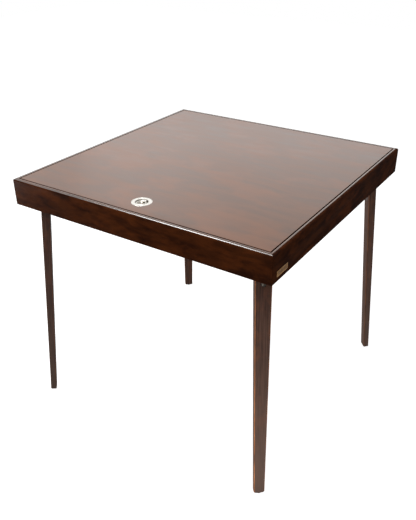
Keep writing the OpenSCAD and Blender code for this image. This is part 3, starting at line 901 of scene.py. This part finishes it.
@dataclass
class TableTop:
    """The four mitred rails with their rebate, quirk and rounded rim."""

    lip: float = 11 * MM            # from the rail's outer face to the rebate
    round_over: float = 5 * MM
    quirk_width: float = 1.2 * MM
    quirk_depth: float = 0.9 * MM
    arris: float = 0.6 * MM         # at the rebate and at the rail's foot
    quirk_arris: float = 0.25 * MM
    hairline: float = 0.35 * MM     # half the line that shows at a mitre
    corner: float = 0.5 * MM
    rim_highlight: tuple[str, ...] = ("front", "left")     # rails whose rim takes the painted highlight
    board_step: Triple = (1.7, 0.31, 0.11)  # how far apart in the timber two rails lay
    half: float = field(init=False)     # from the middle of the table to a rail's outer face
    low: float = field(init=False)
    top: float = field(init=False)
    shelf: float = field(init=False)    # the height of the rebate's floor
    thick: float = field(init=False)

    def __post_init__(self) -> None:
        """Takes the sizes of the rails from the frame."""
        low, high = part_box("rail_front")
        self.half, self.low, self.top = -low.y, low.z, high.z
        self.thick = high.y - low.y
        self.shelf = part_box("rim_felt_strips")[0].z

    def section(self) -> Piece:
        """Draws the section of a rail as one flat face across its left end.

        Returns:
            The flat face, in the plane x = -half.
        """
        clear_selection()
        bpy.ops.mesh.primitive_plane_add(size=1, rotation=(0, QUARTER, 0))
        flat = bpy.context.object
        flat.scale = (self.top - self.low, self.thick, 1)
        flat.location = (-self.half, self.thick / 2 - self.half, (self.low + self.top) / 2)
        bpy.context.view_layer.update()
        settle(flat)
        front, inside = -self.half, self.lip - self.half
        quirk = self.round_over - self.half
        quirk_end, quirk_floor = quirk + self.quirk_width, self.top - self.quirk_depth
        for depth in (quirk, quirk_end, inside):
            cut(flat, (0, depth, 0), (0, 1, 0))
        for height in (self.shelf, quirk_floor):
            cut(flat, (0, 0, height), (0, 0, 1))

        def window(y: Pair, z: Pair) -> Test:
            """Returns a test for a corner within a span of y and one of z, ends included."""
            return lambda p: y[0] - TINY < p.y < y[1] + TINY and z[0] - TINY < p.z < z[1] + TINY

        with editing(flat):
            for spare in (window((inside, math.inf), (self.shelf, math.inf)),
                          window((quirk, quirk_end), (quirk_floor, math.inf))):
                pick(flat, Part.FACES, spare)
                bpy.ops.mesh.delete(type="FACE")
            bpy.ops.mesh.select_all(action="SELECT")
            bpy.ops.mesh.dissolve_limited(angle_limit=math.radians(1))
        for y, z, width, steps in (
                (front, self.top, self.round_over - 2 * TINY, 12),
                (front, self.low, self.arris, 3),
                (inside, self.top, self.arris, 3),
                (quirk_end, self.top, self.quirk_arris, 2)):
            ease(flat, Part.VERTS, window((y, y), (z, z)), width, steps)
        return flat

    def model_rail(self) -> Piece:
        """Draws the section out along the front and cuts both mitres.

        Returns:
            The front rail.
        """
        rail = self.section()
        with editing(rail):
            bpy.ops.mesh.select_all(action="SELECT")
            bpy.ops.mesh.extrude_region_move(
                TRANSFORM_OT_translate={"value": (2 * self.half, 0, 0)})
        for side in (-1, 1):
            end = side * (self.half - self.hairline)
            cut(rail, (end, -self.half, 0), (side, 1, 0), clear=True)
        tidy_mesh(rail)
        reach = self.half - 2 * self.hairline
        ease(rail, Part.EDGES, lambda p: abs(p.x) > reach and p.y < -reach, self.corner, 2)
        return rail

    def sheen(self, point: Vector, rim_highlight: bool) -> int:
        """Chooses the finish of a face of a rail by its place on the section.

        Args:
            point: The middle of the face.
            rim_highlight: Whether this rail's rounded edge takes the painted highlight.

        Returns:
            0 for the rail and the quirk, 1 for the lip, 2 for the painted highlight on the upper
            part of the round.
        """
        depth = self.half - max(abs(point.x), abs(point.y))
        if depth < self.round_over - 3 * TINY:
            # The painted highlight covers only the upper third of the round, on the highlit rails
            return 2 if rim_highlight and point.z > self.top - self.round_over / 3 else 0
        return int(point.z > self.top - self.quirk_depth / 4)

    def build(self) -> None:
        """Makes the four rails and cuts the name plate's pocket into the right one."""
        model = self.model_rail()
        low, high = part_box("name_plate")
        for number, side in enumerate(SIDES):
            turn = Matrix.Rotation(number * QUARTER, 4, "Z")
            rail = copy_of(model, f"rail_{side}_wood", turn)
            if side == "right":
                carve(rail, add_box("plate_pocket", low, high + Vector((PROUD, 0, 0))))
            mark_grain(rail, turn.inverted(), [step * number for step in self.board_step])
            smooth(rail)
            finish_piece(rail, RAIL_WOOD, FRAME_BODY, f"rail_{side}")
            # Only the front and left rails take the painted highlight on their round
            rim_highlight = side in self.rim_highlight
            vary(rail, (LIP_WOOD_PAINTED_LIGHT, RIM_HIGHLIGHT_WOOD), lambda face: self.sheen(face.center, rim_highlight))
        bpy.data.objects.remove(model)


@dataclass
class NamePlate:
    """The blank plate on the right rail, with a raised border and two small pins."""

    edge: float = 0.25 * MM
    border: float = 1.3 * MM
    slope: float = 0.15 * MM        # the width of the step down from the border
    sunk: float = 0.22 * MM
    pin: float = 1.45 * MM          # the radius of a pin's head
    ball: float = 1.8 * MM          # the radius of the ball that the head is a cap of
    ball_depth: float = 1.0 * MM    # how far the ball's middle lies below the head's foot
    cap_from: float = 34            # the angle, in degrees, at which the ball leaves that foot
    head_sunk: float = 0.35 * MM

    def build(self) -> None:
        """Insets the border of the plate, sinks its field and puts in the pins."""
        low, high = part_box("name_plate")
        plate = add_box("name_plate_bordered", low, high)
        face = high.x - TINY
        ease(plate, Part.EDGES, anywhere, self.edge, 2)
        with editing(plate):
            pick(plate, Part.FACES, lambda p: p.x > face)
            bpy.ops.mesh.inset(thickness=self.border, depth=0)
            bpy.ops.mesh.inset(thickness=self.slope, depth=-self.sunk)
        tidy_mesh(plate)
        smooth(plate, 25)
        finish_piece(plate, BRASS, FRAME_BODY, "name_plate")
        vary(plate, (BRASS_FIELD,),
             lambda part: int(part.normal.x > FACING and part.center.x < face))
        low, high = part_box("plate_pins")
        cap = arc((0, -self.ball_depth), self.ball, self.cap_from, 90, 6)
        head = turned("pin_head", [(0, 0), *cap][::-1], 24)
        outwards = Matrix.Rotation(QUARTER, 4, "Y")
        place = Vector((high.x - self.head_sunk, 0, (low.z + high.z) / 2))
        pins = spread("plate_pins_domed", head, [
            Matrix.Translation(place + Vector((0, y, 0))) @ outwards
            for y in (low.y + self.pin, high.y - self.pin)])
        smooth(pins)
        finish_piece(pins, BRASS, FRAME_BODY, "plate_pins")


# ---------------------------------------------------------------- cover and its ring pull


@dataclass
class RingPull:
    """The flush pull: a turned plate with a cup, a ring on a pin, and two screws."""

    flange: float = 1.4 * MM
    cup: float = 17 * MM            # the cup's radius
    cup_depth: float = 6 * MM
    wall: float = 1 * MM
    lip: float = 0.5 * MM           # the round at the cup's mouth and at the plate's rim
    grooves: Pair = (19.3 * MM, 25.6 * MM)  # their radii
    groove_half: float = 0.35 * MM
    groove_deep: float = 0.3 * MM
    lug: float = 2.4 * MM           # the length of a lug along the pin
    lug_half: float = 2.2 * MM      # half its width
    lug_flat: float = 0.1 * MM      # half the flat between the two rounds of its top
    lug_sunk: float = 0.3 * MM      # how far it stands in the cup's floor
    wire: float = 1.4 * MM          # the radius of the ring's wire
    barrel_half: float = 4 * MM     # half the length of the roll round the pin
    barrel_edge: float = 0.3 * MM
    neck_edge: float = 0.4 * MM
    pin_edge: float = 0.15 * MM
    neck: Pair = (3 * MM, 3.4 * MM)     # half its width, and its reach
    slot: Pair = (0.3 * MM, 0.7 * MM)   # half its width, and its depth
    slot_turns: Pair = (0.4, -0.9)      # how far each screw was driven, as a turn about Z
    # The outline of a screw from its tip up to its head
    shank: tuple[Point, ...] = ((0, -3 * MM), (0.9 * MM, -2.6 * MM), (1.2 * MM, -1.2 * MM))
    head_rim: float = 0.12 * MM     # how deep the rim of a screw's head lies
    crown: float = 6 * MM           # the radius of the ball that the head is a cap of
    crown_from: float = 70          # the angle, in degrees, at which the ball leaves the rim
    body: str = "cover_body"
    ring_body: str = "ring_body"
    radius: float = field(init=False)
    place: Matrix = field(init=False)
    pin: Vector = field(init=False)
    pin_long: float = field(init=False)

    def __post_init__(self) -> None:
        """Takes the places of the pull and its pin from the frame."""
        low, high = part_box("pull_plate")
        self.radius = (high.x - low.x) / 2
        self.place = Matrix.Translation(((low.x + high.x) / 2, (low.y + high.y) / 2, high.z))
        low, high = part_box("pull_pin")
        self.pin, self.pin_long = (low + high) / 2, high.x - low.x

    def groove(self, radius: float) -> list[Point]:
        """Outlines a shallow groove turned in the plate's face.

        Args:
            radius: The radius of its middle.

        Returns:
            The points of the outline.
        """
        half, deep = self.groove_half, self.groove_deep
        return [(radius - half, 0), (radius - half / 2, -deep), (radius + half / 2, -deep),
                (radius + half, 0)]

    def plate(self) -> Piece:
        """Turns the plate with its cup and adds the two lugs that hold the pin.

        Returns:
            The plate.
        """
        deep, outer = -self.cup_depth, self.radius
        wall, lip = self.cup + self.wall, self.lip
        outline = [
            (0, deep), *arc((self.cup - MM, deep + MM), MM, -90, 0, 4),
            *arc((self.cup + lip, -lip), lip, 180, 90, 4),
            *(point for radius in self.grooves for point in self.groove(radius)),
            *arc((outer - lip, -lip), lip, 90, 0, 4),
            (outer, -self.flange), (wall, -self.flange),
            (wall, deep - self.wall), (0, deep - self.wall)]
        plate = turned("pull_plate_turned", outline, 128)
        pin = self.pin - self.place.translation
        lugs = []
        for side in (-1, 1):
            outside = side * self.pin_long / 2
            near, far = sorted((outside, outside - side * self.lug))
            block = add_box("lug", (near, pin.y - self.lug_half, deep - self.lug_sunk),
                            (far, pin.y + self.lug_half, pin.z + self.lug_half))
            ease(block, Part.EDGES, lambda p: p.z > pin.z, self.lug_half - self.lug_flat, 6)
            lugs.append(block)
        plate = join("pull_plate_turned", [plate, *lugs])
        settle(plate, self.place)
        smooth(plate, 30)
        return plate

    def ring(self) -> Piece:
        """Makes the ring with its barrel and neck.

        Returns:
            The ring.
        """
        low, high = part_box("pull_ring")
        radius = (high.x - low.x) / 2 - self.wire
        clear_selection()
        bpy.ops.mesh.primitive_torus_add(
            major_segments=96, minor_segments=20, major_radius=radius, minor_radius=self.wire,
            location=((low.x + high.x) / 2, low.y + radius + self.wire, (low.z + high.z) / 2))
        ring = started("pull_ring_wire")
        pin, half = self.pin, self.barrel_half
        along = Matrix.Translation(pin) @ Matrix.Rotation(QUARTER, 4, "Y")
        roll = add_cylinder("barrel", (high.z - low.z) / 2, -half, half, 40, along)
        ease(roll, Part.EDGES, lambda p: abs(abs(p.x - pin.x) - half) < TINY,
             self.barrel_edge, 2)
        side, reach = self.neck
        neck = add_box("neck", (pin.x - side, pin.y - reach, pin.z - self.wire),
                       (pin.x + side, pin.y, pin.z + self.wire))
        ease(neck, Part.EDGES, anywhere, self.neck_edge, 2)
        ring = join("pull_ring_wire", [ring, roll, neck])
        smooth(ring)
        return ring

    def screws(self) -> Piece:
        """Makes the two countersunk screws, each with a straight slot.

        Returns:
            Both screws, as one piece.
        """
        low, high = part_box("pull_screws")
        radius = (high.y - low.y) / 2
        half, deep = self.slot
        head = turned("screw", [
            *self.shank, (radius, -self.head_rim),
            *arc((0, -self.crown), self.crown, self.crown_from, 90, 5)], 32)
        carve(head, add_box("slot", (-radius - PROUD, -half, -deep),
                            (radius + PROUD, half, PROUD)))
        made = spread("pull_screws_slotted", head, [
            Matrix.Translation((x, (low.y + high.y) / 2, high.z)) @ Matrix.Rotation(turn, 4, "Z")
            for x, turn in zip((low.x + radius, high.x - radius), self.slot_turns)])
        smooth(made)
        return made

    def build(self) -> None:
        """Makes the plate, screws, ring and pin."""
        finish_piece(self.plate(), CHROME, self.body, "pull_plate")
        finish_piece(self.screws(), CHROME, self.body, "pull_screws")
        finish_piece(self.ring(), CHROME, self.ring_body, "pull_ring")
        finish_nodes(self.body, ("pull_pin", self.pin_edge, CHROME))


@dataclass
class Cover:
    """The lift-off cover panel, with the seat of the ring pull cut into it."""

    edge: float = 1.2 * MM
    lower_edge: float = 0.5 * MM
    flange_gap: float = 0.05 * MM
    cup_gap: float = 1.2 * MM
    cut_from: Triple = (3.7, 0.9, 0.0)  # where the veneer lay in its sheet
    body: str = "cover_body"

    def build(self) -> None:
        """Rounds the panel's edges, cuts the pull's seat and paints shade on every side face in
        the dark rail stain.
        """
        low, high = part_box("cover")
        panel = add_box("cover_panel_wood", low, high)
        ease(panel, Part.EDGES, lambda p: p.z > high.z - TINY, self.edge, 5)
        ease(panel, Part.EDGES, lambda p: p.z < low.z + TINY, self.lower_edge, 2)
        plate_low, plate_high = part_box("pull_plate")
        centre = (plate_low + plate_high) / 2
        at_pull = Matrix.Translation((centre.x, centre.y, high.z))
        flange = (plate_high.x - plate_low.x) / 2
        for name, radius, bottom in (
                ("flange_seat", flange + self.flange_gap, -RingPull.flange),
                ("cup_hole", RingPull.cup + self.cup_gap, low.z - high.z - PROUD)):
            carve(panel, add_cylinder(name, radius, bottom, PROUD, 96, at_pull))
        mark_grain(panel, Matrix.Identity(4), self.cut_from)
        smooth(panel)
        finish_piece(panel, COVER_WOOD, self.body, "cover")
        # Painted shade: the side faces round the panel and in the pull's seat take the dark rail
        # stain, so the gap and the seat read dark
        vary(panel, (RAIL_WOOD,), lambda face: int(abs(face.normal.z) < FACING))


# ---------------------------------------------------------------- puzzle well


@dataclass
class PuzzleWell:
    """The play board under the cover, its felt, and the cleats and rests that go with it."""

    felt_edge: float = 0.5 * MM
    strip_edge: float = 0.3 * MM
    strip_width: float = 5 * MM
    strip_end: float = 19 * MM      # how far a strip stops short of the corner
    wood_edge: float = 0.5 * MM
    screw_edge: float = 0.2 * MM

    def felt(self) -> Piece:
        """Makes the playing felt, with soft edges.

        Returns:
            The felt.
        """
        low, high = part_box("play_felt")
        felt = add_box("play_felt_cloth", low, high)
        ease(felt, Part.EDGES, lambda p: p.z > high.z - TINY, self.felt_edge, 3)
        smooth(felt)
        return felt

    def strips(self) -> Piece:
        """Makes the four felt strips that the cover lies on.

        Returns:
            The strips, as one piece.
        """
        low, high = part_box("rim_felt_strips")
        end = low.x + self.strip_end
        strip = add_box("strip", (end, low.y, low.z), (-end, low.y + self.strip_width, high.z))
        ease(strip, Part.EDGES, lambda p: p.z > high.z - TINY, self.strip_edge, 2)
        made = spread("rim_strips_felt", strip, [
            Matrix.Rotation(number * QUARTER, 4, "Z") for number in range(len(SIDES))])
        smooth(made)
        return made

    def build(self) -> None:
        """Makes the felt and dresses the bare wood round it."""
        felt = finish_piece(self.felt(), GREEN_FELT, FRAME_BODY, "play_felt")
        finish_piece(self.strips(), GREEN_FELT, FRAME_BODY, "rim_felt_strips")
        for nodes, finish in (
                (("play_board", "cleat_front", "cleat_back"), BIRCH_X),
                (("cleat_left", "cleat_right"), BIRCH_Y),
                (("mitre_biscuits", *(f"corner_block_{corner}" for corner in CORNERS)), BIRCH_X),
                ([f"leg_rest_{corner}" for corner in CORNERS], BIRCH_Y)):
            finish_nodes(FRAME_BODY, *((node, self.wood_edge, finish) for node in nodes))
        finish_nodes(FRAME_BODY, ("cleat_screws", self.screw_edge, BROWN_STEEL))


# ---------------------------------------------------------------- legs


@dataclass
class LegFixings:
    """The bolt and the sleeve nut that clamp a leg to its hinge's strap, modelled once."""

    head: float = 6.5 * MM          # the radius of either head
    bolt_rise: float = 2.8 * MM     # how far the bolt's head stands out
    nut_rise: float = 1.5 * MM
    nut_lip: float = 0.6 * MM
    shank: Pair = (3 * MM, 14 * MM)     # the bolt's radius and its length under the head
    sleeve: Pair = (4 * MM, 9 * MM)     # the same of the nut
    socket: Pair = (2.3 * MM, 2 * MM)   # the radius to its corners, and its depth

    def bolt(self) -> Piece:
        """Turns the bolt, with its domed head.

        Returns:
            The bolt, standing on the seat of its head.
        """
        rise, (radius, length) = self.bolt_rise, self.shank
        ball = (self.head ** 2 + rise ** 2) / (2 * rise)
        reach = math.degrees(math.asin(self.head / ball))
        bolt = turned("leg_bolt", [
            (0, -length), (radius, -length), (radius, 0),
            *arc((0, rise - ball), ball, 90 - reach, 90, 10)], 48)
        smooth(bolt, 40)
        return bolt

    def sleeve_nut(self) -> Piece:
        """Turns the sleeve nut, with a hexagon socket in its flat head.

        Returns:
            The nut, standing on the seat of its head.
        """
        lip, rise, (radius, length) = self.nut_lip, self.nut_rise, self.sleeve
        nut = turned("sleeve_nut", [
            (0, -length), (radius, -length), (radius, 0), (self.head, 0),
            *arc((self.head - lip, rise - lip), lip, 0, 90, 4), (0, rise)], 48)
        across, deep = self.socket
        carve(nut, add_cylinder("socket", across, -deep, rise + PROUD, 6))
        smooth(nut)
        return nut


@dataclass
class Leg:
    """One folding leg: a tapered wooden post with its steel hinge, bolt, nut, screw and glide.

    Its own frame has its origin at the pivot, z up along the leg and x out of its outer face.
    """

    corner: str
    number: int
    width: float = 42.4 * MM
    thick: float = 23.8 * MM
    foot_width: float = 29.8 * MM
    foot_thick: float = 18 * MM
    top_round: float = 12.5 * MM    # how far the round top stands above the pivot
    top_flat: float = 0.5 * MM      # half the flat between the two rounds of the top
    edge: float = 2.4 * MM
    foot_rise: float = 3.4 * MM     # the height of the cut corners at the foot
    spare: float = 2 * MM           # what is left on under the foot until that is cut level
    foot_in: Pair = (1.6 * MM, 3.6 * MM)    # how far they cut in, in x and y
    glide: float = 2.5 * MM
    hinge: float = 1.5 * MM         # the thickness of the hinge's steel
    side_plate: float = 13 * MM     # how far the hinge's sides reach below the pivot
    square: float = 0.5 * MM        # how much of the leg below them keeps its sharp edges
    strap: float = 16 * MM          # the width of the hinge's strap, let into the leg
    strap_past_rail: float = 92 * MM    # how far below the rails it ends
    bolt_below_rail: float = 35 * MM
    bolt_sunk: float = 0.4 * MM
    bolt_gap: float = 0.2 * MM      # round the bolt's head, in its seat
    edges: Triple = (0.25 * MM, 0.2 * MM, 0.3 * MM)     # of the hinge, screw and glide
    board_step: Triple = (0.0, 0.23, 0.4)   # how far apart in the timber two legs lay
    highlit_edge_leg: str = "front_right"    # the near leg, whose arrises take the brighter painted highlight
    shaded_leg: str = "back_left"    # the far leg in shade, which takes the shaded copy of the stain
    body: str = field(init=False)
    pivot: Vector = field(init=False)
    length: float = field(init=False)   # from the pivot to the foot
    lean: float = field(init=False)     # the height of a step of one metre up the leg
    rails: float = field(init=False)    # the height of the rails' lower edge
    place: Matrix = field(init=False)   # from the leg's own frame to the table's
    to_bolt: Matrix = field(init=False)     # from the bolt's frame to the leg's own
    to_nut: Matrix = field(init=False)

    def __post_init__(self) -> None:
        """Takes the leg's pivot, axis and foot from the joints and mounts of the frame."""
        self.body = f"leg_{self.corner}_body"
        joint = next(j for j in frame["joints"] if j["child"] == self.body)
        mount = next(m for m in frame["record"]["mounts"] if m["name"] == f"foot_{self.corner}")
        self.pivot = Vector(joint["pos_m"])
        across = Vector(joint["axis"]).normalized()
        foot = Vector(mount["pos_m"]) + Vector((0, 0, self.glide))
        up = (self.pivot - foot).normalized()
        turn = Matrix((across.cross(up), across, up)).transposed().to_4x4()
        self.length = (self.pivot - foot).length
        self.place = Matrix.Translation(self.pivot) @ turn
        self.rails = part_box("rail_front")[0].z
        self.lean = up.z
        down = self.down_to(self.bolt_below_rail)
        seat = self.half_thick(down) - self.bolt_sunk
        self.to_bolt = (Matrix.Translation((0, 0, -down)) @ Matrix.Rotation(QUARTER, 4, "Y")
                        @ Matrix.Translation((0, 0, seat)))
        self.to_nut = (Matrix.Translation((-self.thick / 2, 0, -down))
                       @ Matrix.Rotation(-QUARTER, 4, "Y"))

    def down_to(self, below_rails: float) -> float:
        """Returns the distance along the leg, from the pivot, of a height below the rails."""
        return (self.pivot.z - self.rails + below_rails) / self.lean

    def half_thick(self, down: float) -> float:
        """Works out how thick the leg is somewhere along it.

        Args:
            down: The distance down from the pivot.

        Returns:
            Half its thickness there.
        """
        start = self.down_to(0)
        share = max(0.0, down - start) / (self.length - start)
        return (self.thick + (self.foot_thick - self.thick) * share) / 2

    def post(self) -> Piece:
        """Models the post from a box, rounded at its top and tapered below the rails.

        Returns:
            The post, in the leg's own frame.
        """
        start, end = self.down_to(0), self.length
        post = add_box(f"leg_{self.corner}_wood", (-self.thick / 2, -self.width / 2, -end),
                       (self.thick / 2, self.width / 2, self.top_round))
        ease(post, Part.EDGES, lambda p: p.z > 0, self.thick / 2 - self.top_flat, 9)
        cut(post, (0, 0, -start), (0, 0, 1))
        with editing(post):
            pick(post, Part.FACES, lambda p: p.z < TINY - end)
            squeeze(-end, self.foot_thick / self.thick, self.foot_width / self.width)
        cut(post, (0, 0, self.foot_rise - end), (0, 0, 1))
        whole = Vector((self.foot_thick / 2, self.foot_width / 2))
        level = whole - Vector(self.foot_in)
        under = level - Vector(self.foot_in) * self.spare / self.foot_rise
        with editing(post):
            pick(post, Part.FACES, lambda p: p.z < TINY - end)
            squeeze(-end, level.x / whole.x, level.y / whole.y)
            bpy.ops.mesh.extrude_region_move(
                TRANSFORM_OT_translate={"value": (0, 0, -self.spare)})
            squeeze(-end - self.spare, under.x / level.x, under.y / level.y)
        return post

    def carve_post(self, post: Piece) -> None:
        """Cuts the hinge's pockets and the seat of the bolt's head.

        Args:
            post: The post, in the leg's own frame.
        """
        low, face, side = -self.side_plate, self.thick / 2, self.width / 2
        for sign in (-1, 1):
            near, far = sorted((sign * (side - self.hinge), sign * (side + PROUD)))
            carve(post, add_box("side_pocket", (-face - PROUD, near, low),
                                (face + PROUD, far, self.top_round + PROUD)))
        carve(post, add_box("back_pocket", (-face - PROUD, -side - PROUD, low),
                            (self.hinge - face, side + PROUD, 0)))
        strap_end = -self.down_to(self.strap_past_rail)
        carve(post, add_box("strap_pocket", (-face - PROUD, -self.strap / 2, strap_end),
                            (self.hinge - face, self.strap / 2, low + MM)))
        carve(post, add_cylinder("bolt_seat", LegFixings.head + self.bolt_gap, 0, PROUD, 48,
                                 self.to_bolt))

    def wood(self) -> Piece:
        """Models the post, eases its long edges, pockets it and cuts its foot level.

        Returns:
            The post, at its place.
        """
        post = self.post()
        ease_from = -self.side_plate - self.square
        cut(post, (0, 0, ease_from), (0, 0, 1))
        with editing(post) as mesh:
            pick(post, Part.EDGES, lambda p: -self.length - TINY < p.z < ease_from + TINY)
            # Of these, only the edges that run along the leg are eased
            for edge in mesh.edges:
                run = (edge.verts[0].co - edge.verts[1].co).normalized()
                if edge.select and abs(run.z) < 0.5:
                    edge.select_set(False)
            bmesh.update_edit_mesh(post.data)
            bpy.ops.mesh.bevel(offset=self.edge, segments=5, affect="EDGES")
        self.carve_post(post)
        mark_grain(post, Matrix.Rotation(QUARTER, 4, "Y"),
                   [step * self.number for step in self.board_step])
        settle(post, self.place)
        cut(post, (0, 0, self.glide), (0, 0, -1), clear=True)
        tidy_mesh(post)
        smooth(post, 20)
        return post

    def build(self, bolt: Piece, nut: Piece) -> None:
        """Makes the leg's pieces, with a painted highlight along the post's edges.

        Args:
            bolt: The model of the leg bolt, which is copied.
            nut: The model of the sleeve nut, which is copied.
        """
        name = self.corner
        # The far leg in shade takes the copy of the stain without the painted floor reflection
        stain = LEG_WOOD_SHADED if name == self.shaded_leg else LEG_WOOD
        wood = finish_piece(self.wood(), stain, self.body, f"leg_{name}")
        out, across = self.place.col[0].xyz, self.place.col[1].xyz

        def on_edge(face: bpy.types.MeshPolygon) -> int:
            """Returns 1 for a face that slants between two sides of the post, otherwise 0."""
            slant = min(abs(face.normal.dot(out)), abs(face.normal.dot(across)))
            return int(slant > 0.25 and abs(face.normal.z) < 0.3)

        # The slanting faces of the eased edges take the painted highlight
        vary(wood, (NEAR_LEG_EDGE_HIGHLIGHT if name == self.highlit_edge_leg else LEG_EDGE_HIGHLIGHT,), on_edge)
        bolt = copy_of(bolt, f"leg_bolt_{name}_domed", self.place @ self.to_bolt)
        finish_piece(bolt, NICKEL, self.body, f"leg_bolt_{name}")
        nut = copy_of(nut, f"sleeve_nut_{name}_turned", self.place @ self.to_nut)
        finish_piece(nut, ZINC, self.body, f"sleeve_nut_{name}")
        hinge_edge, screw_edge, glide_edge = self.edges
        finish_nodes(self.body, (f"leg_hinge_{name}", hinge_edge, BROWN_STEEL),
                     (f"strap_screw_{name}", screw_edge, BROWN_STEEL),
                     (f"glide_{name}", glide_edge, NICKEL))


@dataclass
class Legs:
    """The four legs, each with its own copy of the bolt and the sleeve nut."""

    fixings: LegFixings = field(default_factory=LegFixings)

    def build(self) -> None:
        """Models the fixings and builds the legs round them."""
        bolt, nut = self.fixings.bolt(), self.fixings.sleeve_nut()
        for number, corner in enumerate(CORNERS):
            Leg(corner, number).build(bolt, nut)
        for model in (bolt, nut):
            bpy.data.objects.remove(model)


@dataclass
class LegBrackets:
    """The brackets on the corner blocks, with their bolts, nuts, washers and screws."""

    edge: float = 0.3 * MM
    nut_edge: float = 0.4 * MM
    small_edge: float = 0.2 * MM

    def build(self) -> None:
        """Dresses the brackets and what clamps the legs in them."""
        finish_nodes(
            FRAME_BODY, *((f"bracket_{corner}", self.edge, BROWN_STEEL) for corner in CORNERS),
            ("bracket_screws", self.small_edge, ZINC), ("pivot_bolts", self.edge, ZINC),
            ("pivot_nuts", self.nut_edge, ZINC), ("friction_washers", self.small_edge, FIBRE))


# ---------------------------------------------------------------- studio


@dataclass(frozen=True)
class Softbox:
    """A rectangular lamp with a cloth front."""

    name: str
    place: Triple
    aim: Triple
    size: Pair
    watts: float
    spread: float = 180             # the angle, in degrees, that its light fans out to

    def hang(self) -> None:
        """Adds the lamp to the scene, turned to what it faces."""
        data = bpy.data.lights.new(self.name, "AREA")
        data.shape = "RECTANGLE"
        data.size, data.size_y = self.size
        data.energy = self.watts
        data.spread = math.radians(self.spread)
        lamp = bpy.data.objects.new(self.name, data)
        lamp.location = self.place
        facing = Vector(self.aim) - Vector(self.place)
        lamp.rotation_euler = facing.to_track_quat("-Z", "Y").to_euler()
        bpy.context.scene.collection.objects.link(lamp)


SOFTBOXES = (
    Softbox("back_softbox", (-1.1, 2.0, 1.8), (0, 0, 0.75), (2.4, 1.4), 5),
    Softbox("overhead_softbox", (-1.0, -0.35, 2.75), (0, 0, 0.75), (1.15, 0.8), 38),
    Softbox("left_softbox", (-2.3, -0.65, 0.4), (0.1, -0.2, 0.3), (0.7, 0.7), 38),
    Softbox("front_softbox", (0.8, -1.6, 2.3), (0.1, -0.2, 0.6), (1.0, 1.0), 15),
    Softbox("low_front_fill", (0.65, -1.5, 0.12), (0.39, -0.39, 0.1), (0.5, 0.2), 1.5, 62))


@dataclass
class Studio:
    """A pale floor, a white surround and soft lamps, with the camera of the photograph."""

    azimuth: float = 33.59
    elevation: float = 29.45
    roll: float = -0.41
    distance: float = 2.0049
    aim: Triple = (-0.0309, 0.0, 0.4142)
    focal_px: float = 625.0
    image_px: tuple[int, int] = (416, 520)
    sensor: float = 36.0
    sight: float = 50.0             # how far the camera sees
    floor_side: float = 14.0
    ambient: float = 0.32           # how strongly the surround lights what is matt
    floor_grey: float = 0.5         # its own colour, which keeps a shadow
    floor_seen: float = 0.86        # what the floor adds to its own light for the camera
    floor_mirrored: float = 0.15    # and for what mirrors it

    def camera(self) -> None:
        """Sets the camera at the photograph's place."""
        turn, rise, tilt = (math.radians(a) for a in (self.azimuth, self.elevation, self.roll))
        back = Vector((math.sin(turn) * math.cos(rise), -math.cos(turn) * math.cos(rise),
                       math.sin(rise)))
        right = (-back).cross(Vector((0, 0, 1))).normalized()
        up = right.cross(-back)
        across = right * math.cos(tilt) + up * math.sin(tilt)
        upright = up * math.cos(tilt) - right * math.sin(tilt)
        data = bpy.data.cameras.new("photo_camera")
        data.sensor_width = self.sensor
        data.lens = self.focal_px * self.sensor / max(self.image_px)
        data.clip_end = self.sight
        camera = bpy.data.objects.new("photo_camera", data)
        turned_to = Matrix((across, upright, back)).transposed().to_4x4()
        stand = Vector(self.aim) + back * self.distance
        camera.matrix_world = Matrix.Translation(stand) @ turned_to
        bpy.context.scene.collection.objects.link(camera)
        bpy.context.scene.camera = camera

    def world(self) -> None:
        """Makes the surround white to the eye and to the metal, and dim as a light."""
        world = bpy.data.worlds.new("white_surround")
        tree = empty_tree(world)
        path = add_node(tree, "LightPath").outputs
        seen = add_node(tree, "Math", {0: path["Is Camera Ray"], 1: path["Is Glossy Ray"]},
                        operation="MAXIMUM")
        seen = add_node(tree, "Math", {0: seen, 1: path["Is Transmission Ray"]},
                        operation="MAXIMUM")
        strength = add_node(tree, "MapRange", {
            "Value": seen, "To Min": self.ambient, "To Max": 1.0})
        light = add_node(tree, "Background", {"Color": (1, 1, 1, 1), "Strength": strength})
        add_node(tree, "OutputWorld", {"Surface": light})
        bpy.context.scene.world = world

    def floor(self) -> None:
        """Lays the pale floor, which reads as white but keeps a faint shadow."""
        clear_selection()
        bpy.ops.mesh.primitive_plane_add(size=self.floor_side)
        floor = bpy.context.object
        floor.name = "studio_floor"
        made = bpy.data.materials.new("pale_floor")
        tree = empty_tree(made)
        path = add_node(tree, "LightPath").outputs
        matt = add_node(tree, "BsdfDiffuse", {"Color": (*(self.floor_grey,) * 3, 1)})
        mirrored = add_node(tree, "Math", {
            0: path["Is Glossy Ray"], 1: path["Is Transmission Ray"]}, operation="MAXIMUM")
        mirrored = add_node(tree, "Math", {0: mirrored, 1: self.floor_mirrored},
                            operation="MULTIPLY")
        seen = add_node(tree, "Math", {
            0: path["Is Camera Ray"], 1: self.floor_seen, 2: mirrored}, operation="MULTIPLY_ADD")
        white = add_node(tree, "Emission", {"Color": (1, 1, 1, 1), "Strength": seen})
        both = add_node(tree, "AddShader", {0: matt, 1: white})
        add_node(tree, "OutputMaterial", {"Surface": both})
        floor.data.materials.append(made)

    def build(self) -> None:
        """Sets up the studio."""
        self.world()
        self.floor()
        self.camera()
        for softbox in SOFTBOXES:
            softbox.hang()
        bpy.context.scene.view_settings.view_transform = "Standard"


def main() -> None:
    """Builds the table's pieces in order, then the studio."""
    logging.basicConfig(level=logging.INFO, format="%(name)s: %(message)s")
    for assembly in (TableTop(), NamePlate(), Cover(), RingPull(), PuzzleWell(), Legs(),
                     LegBrackets(), Studio()):
        LOG.info("building %s", type(assembly).__name__)
        assembly.build()


if __name__ == "__main__":
    main()
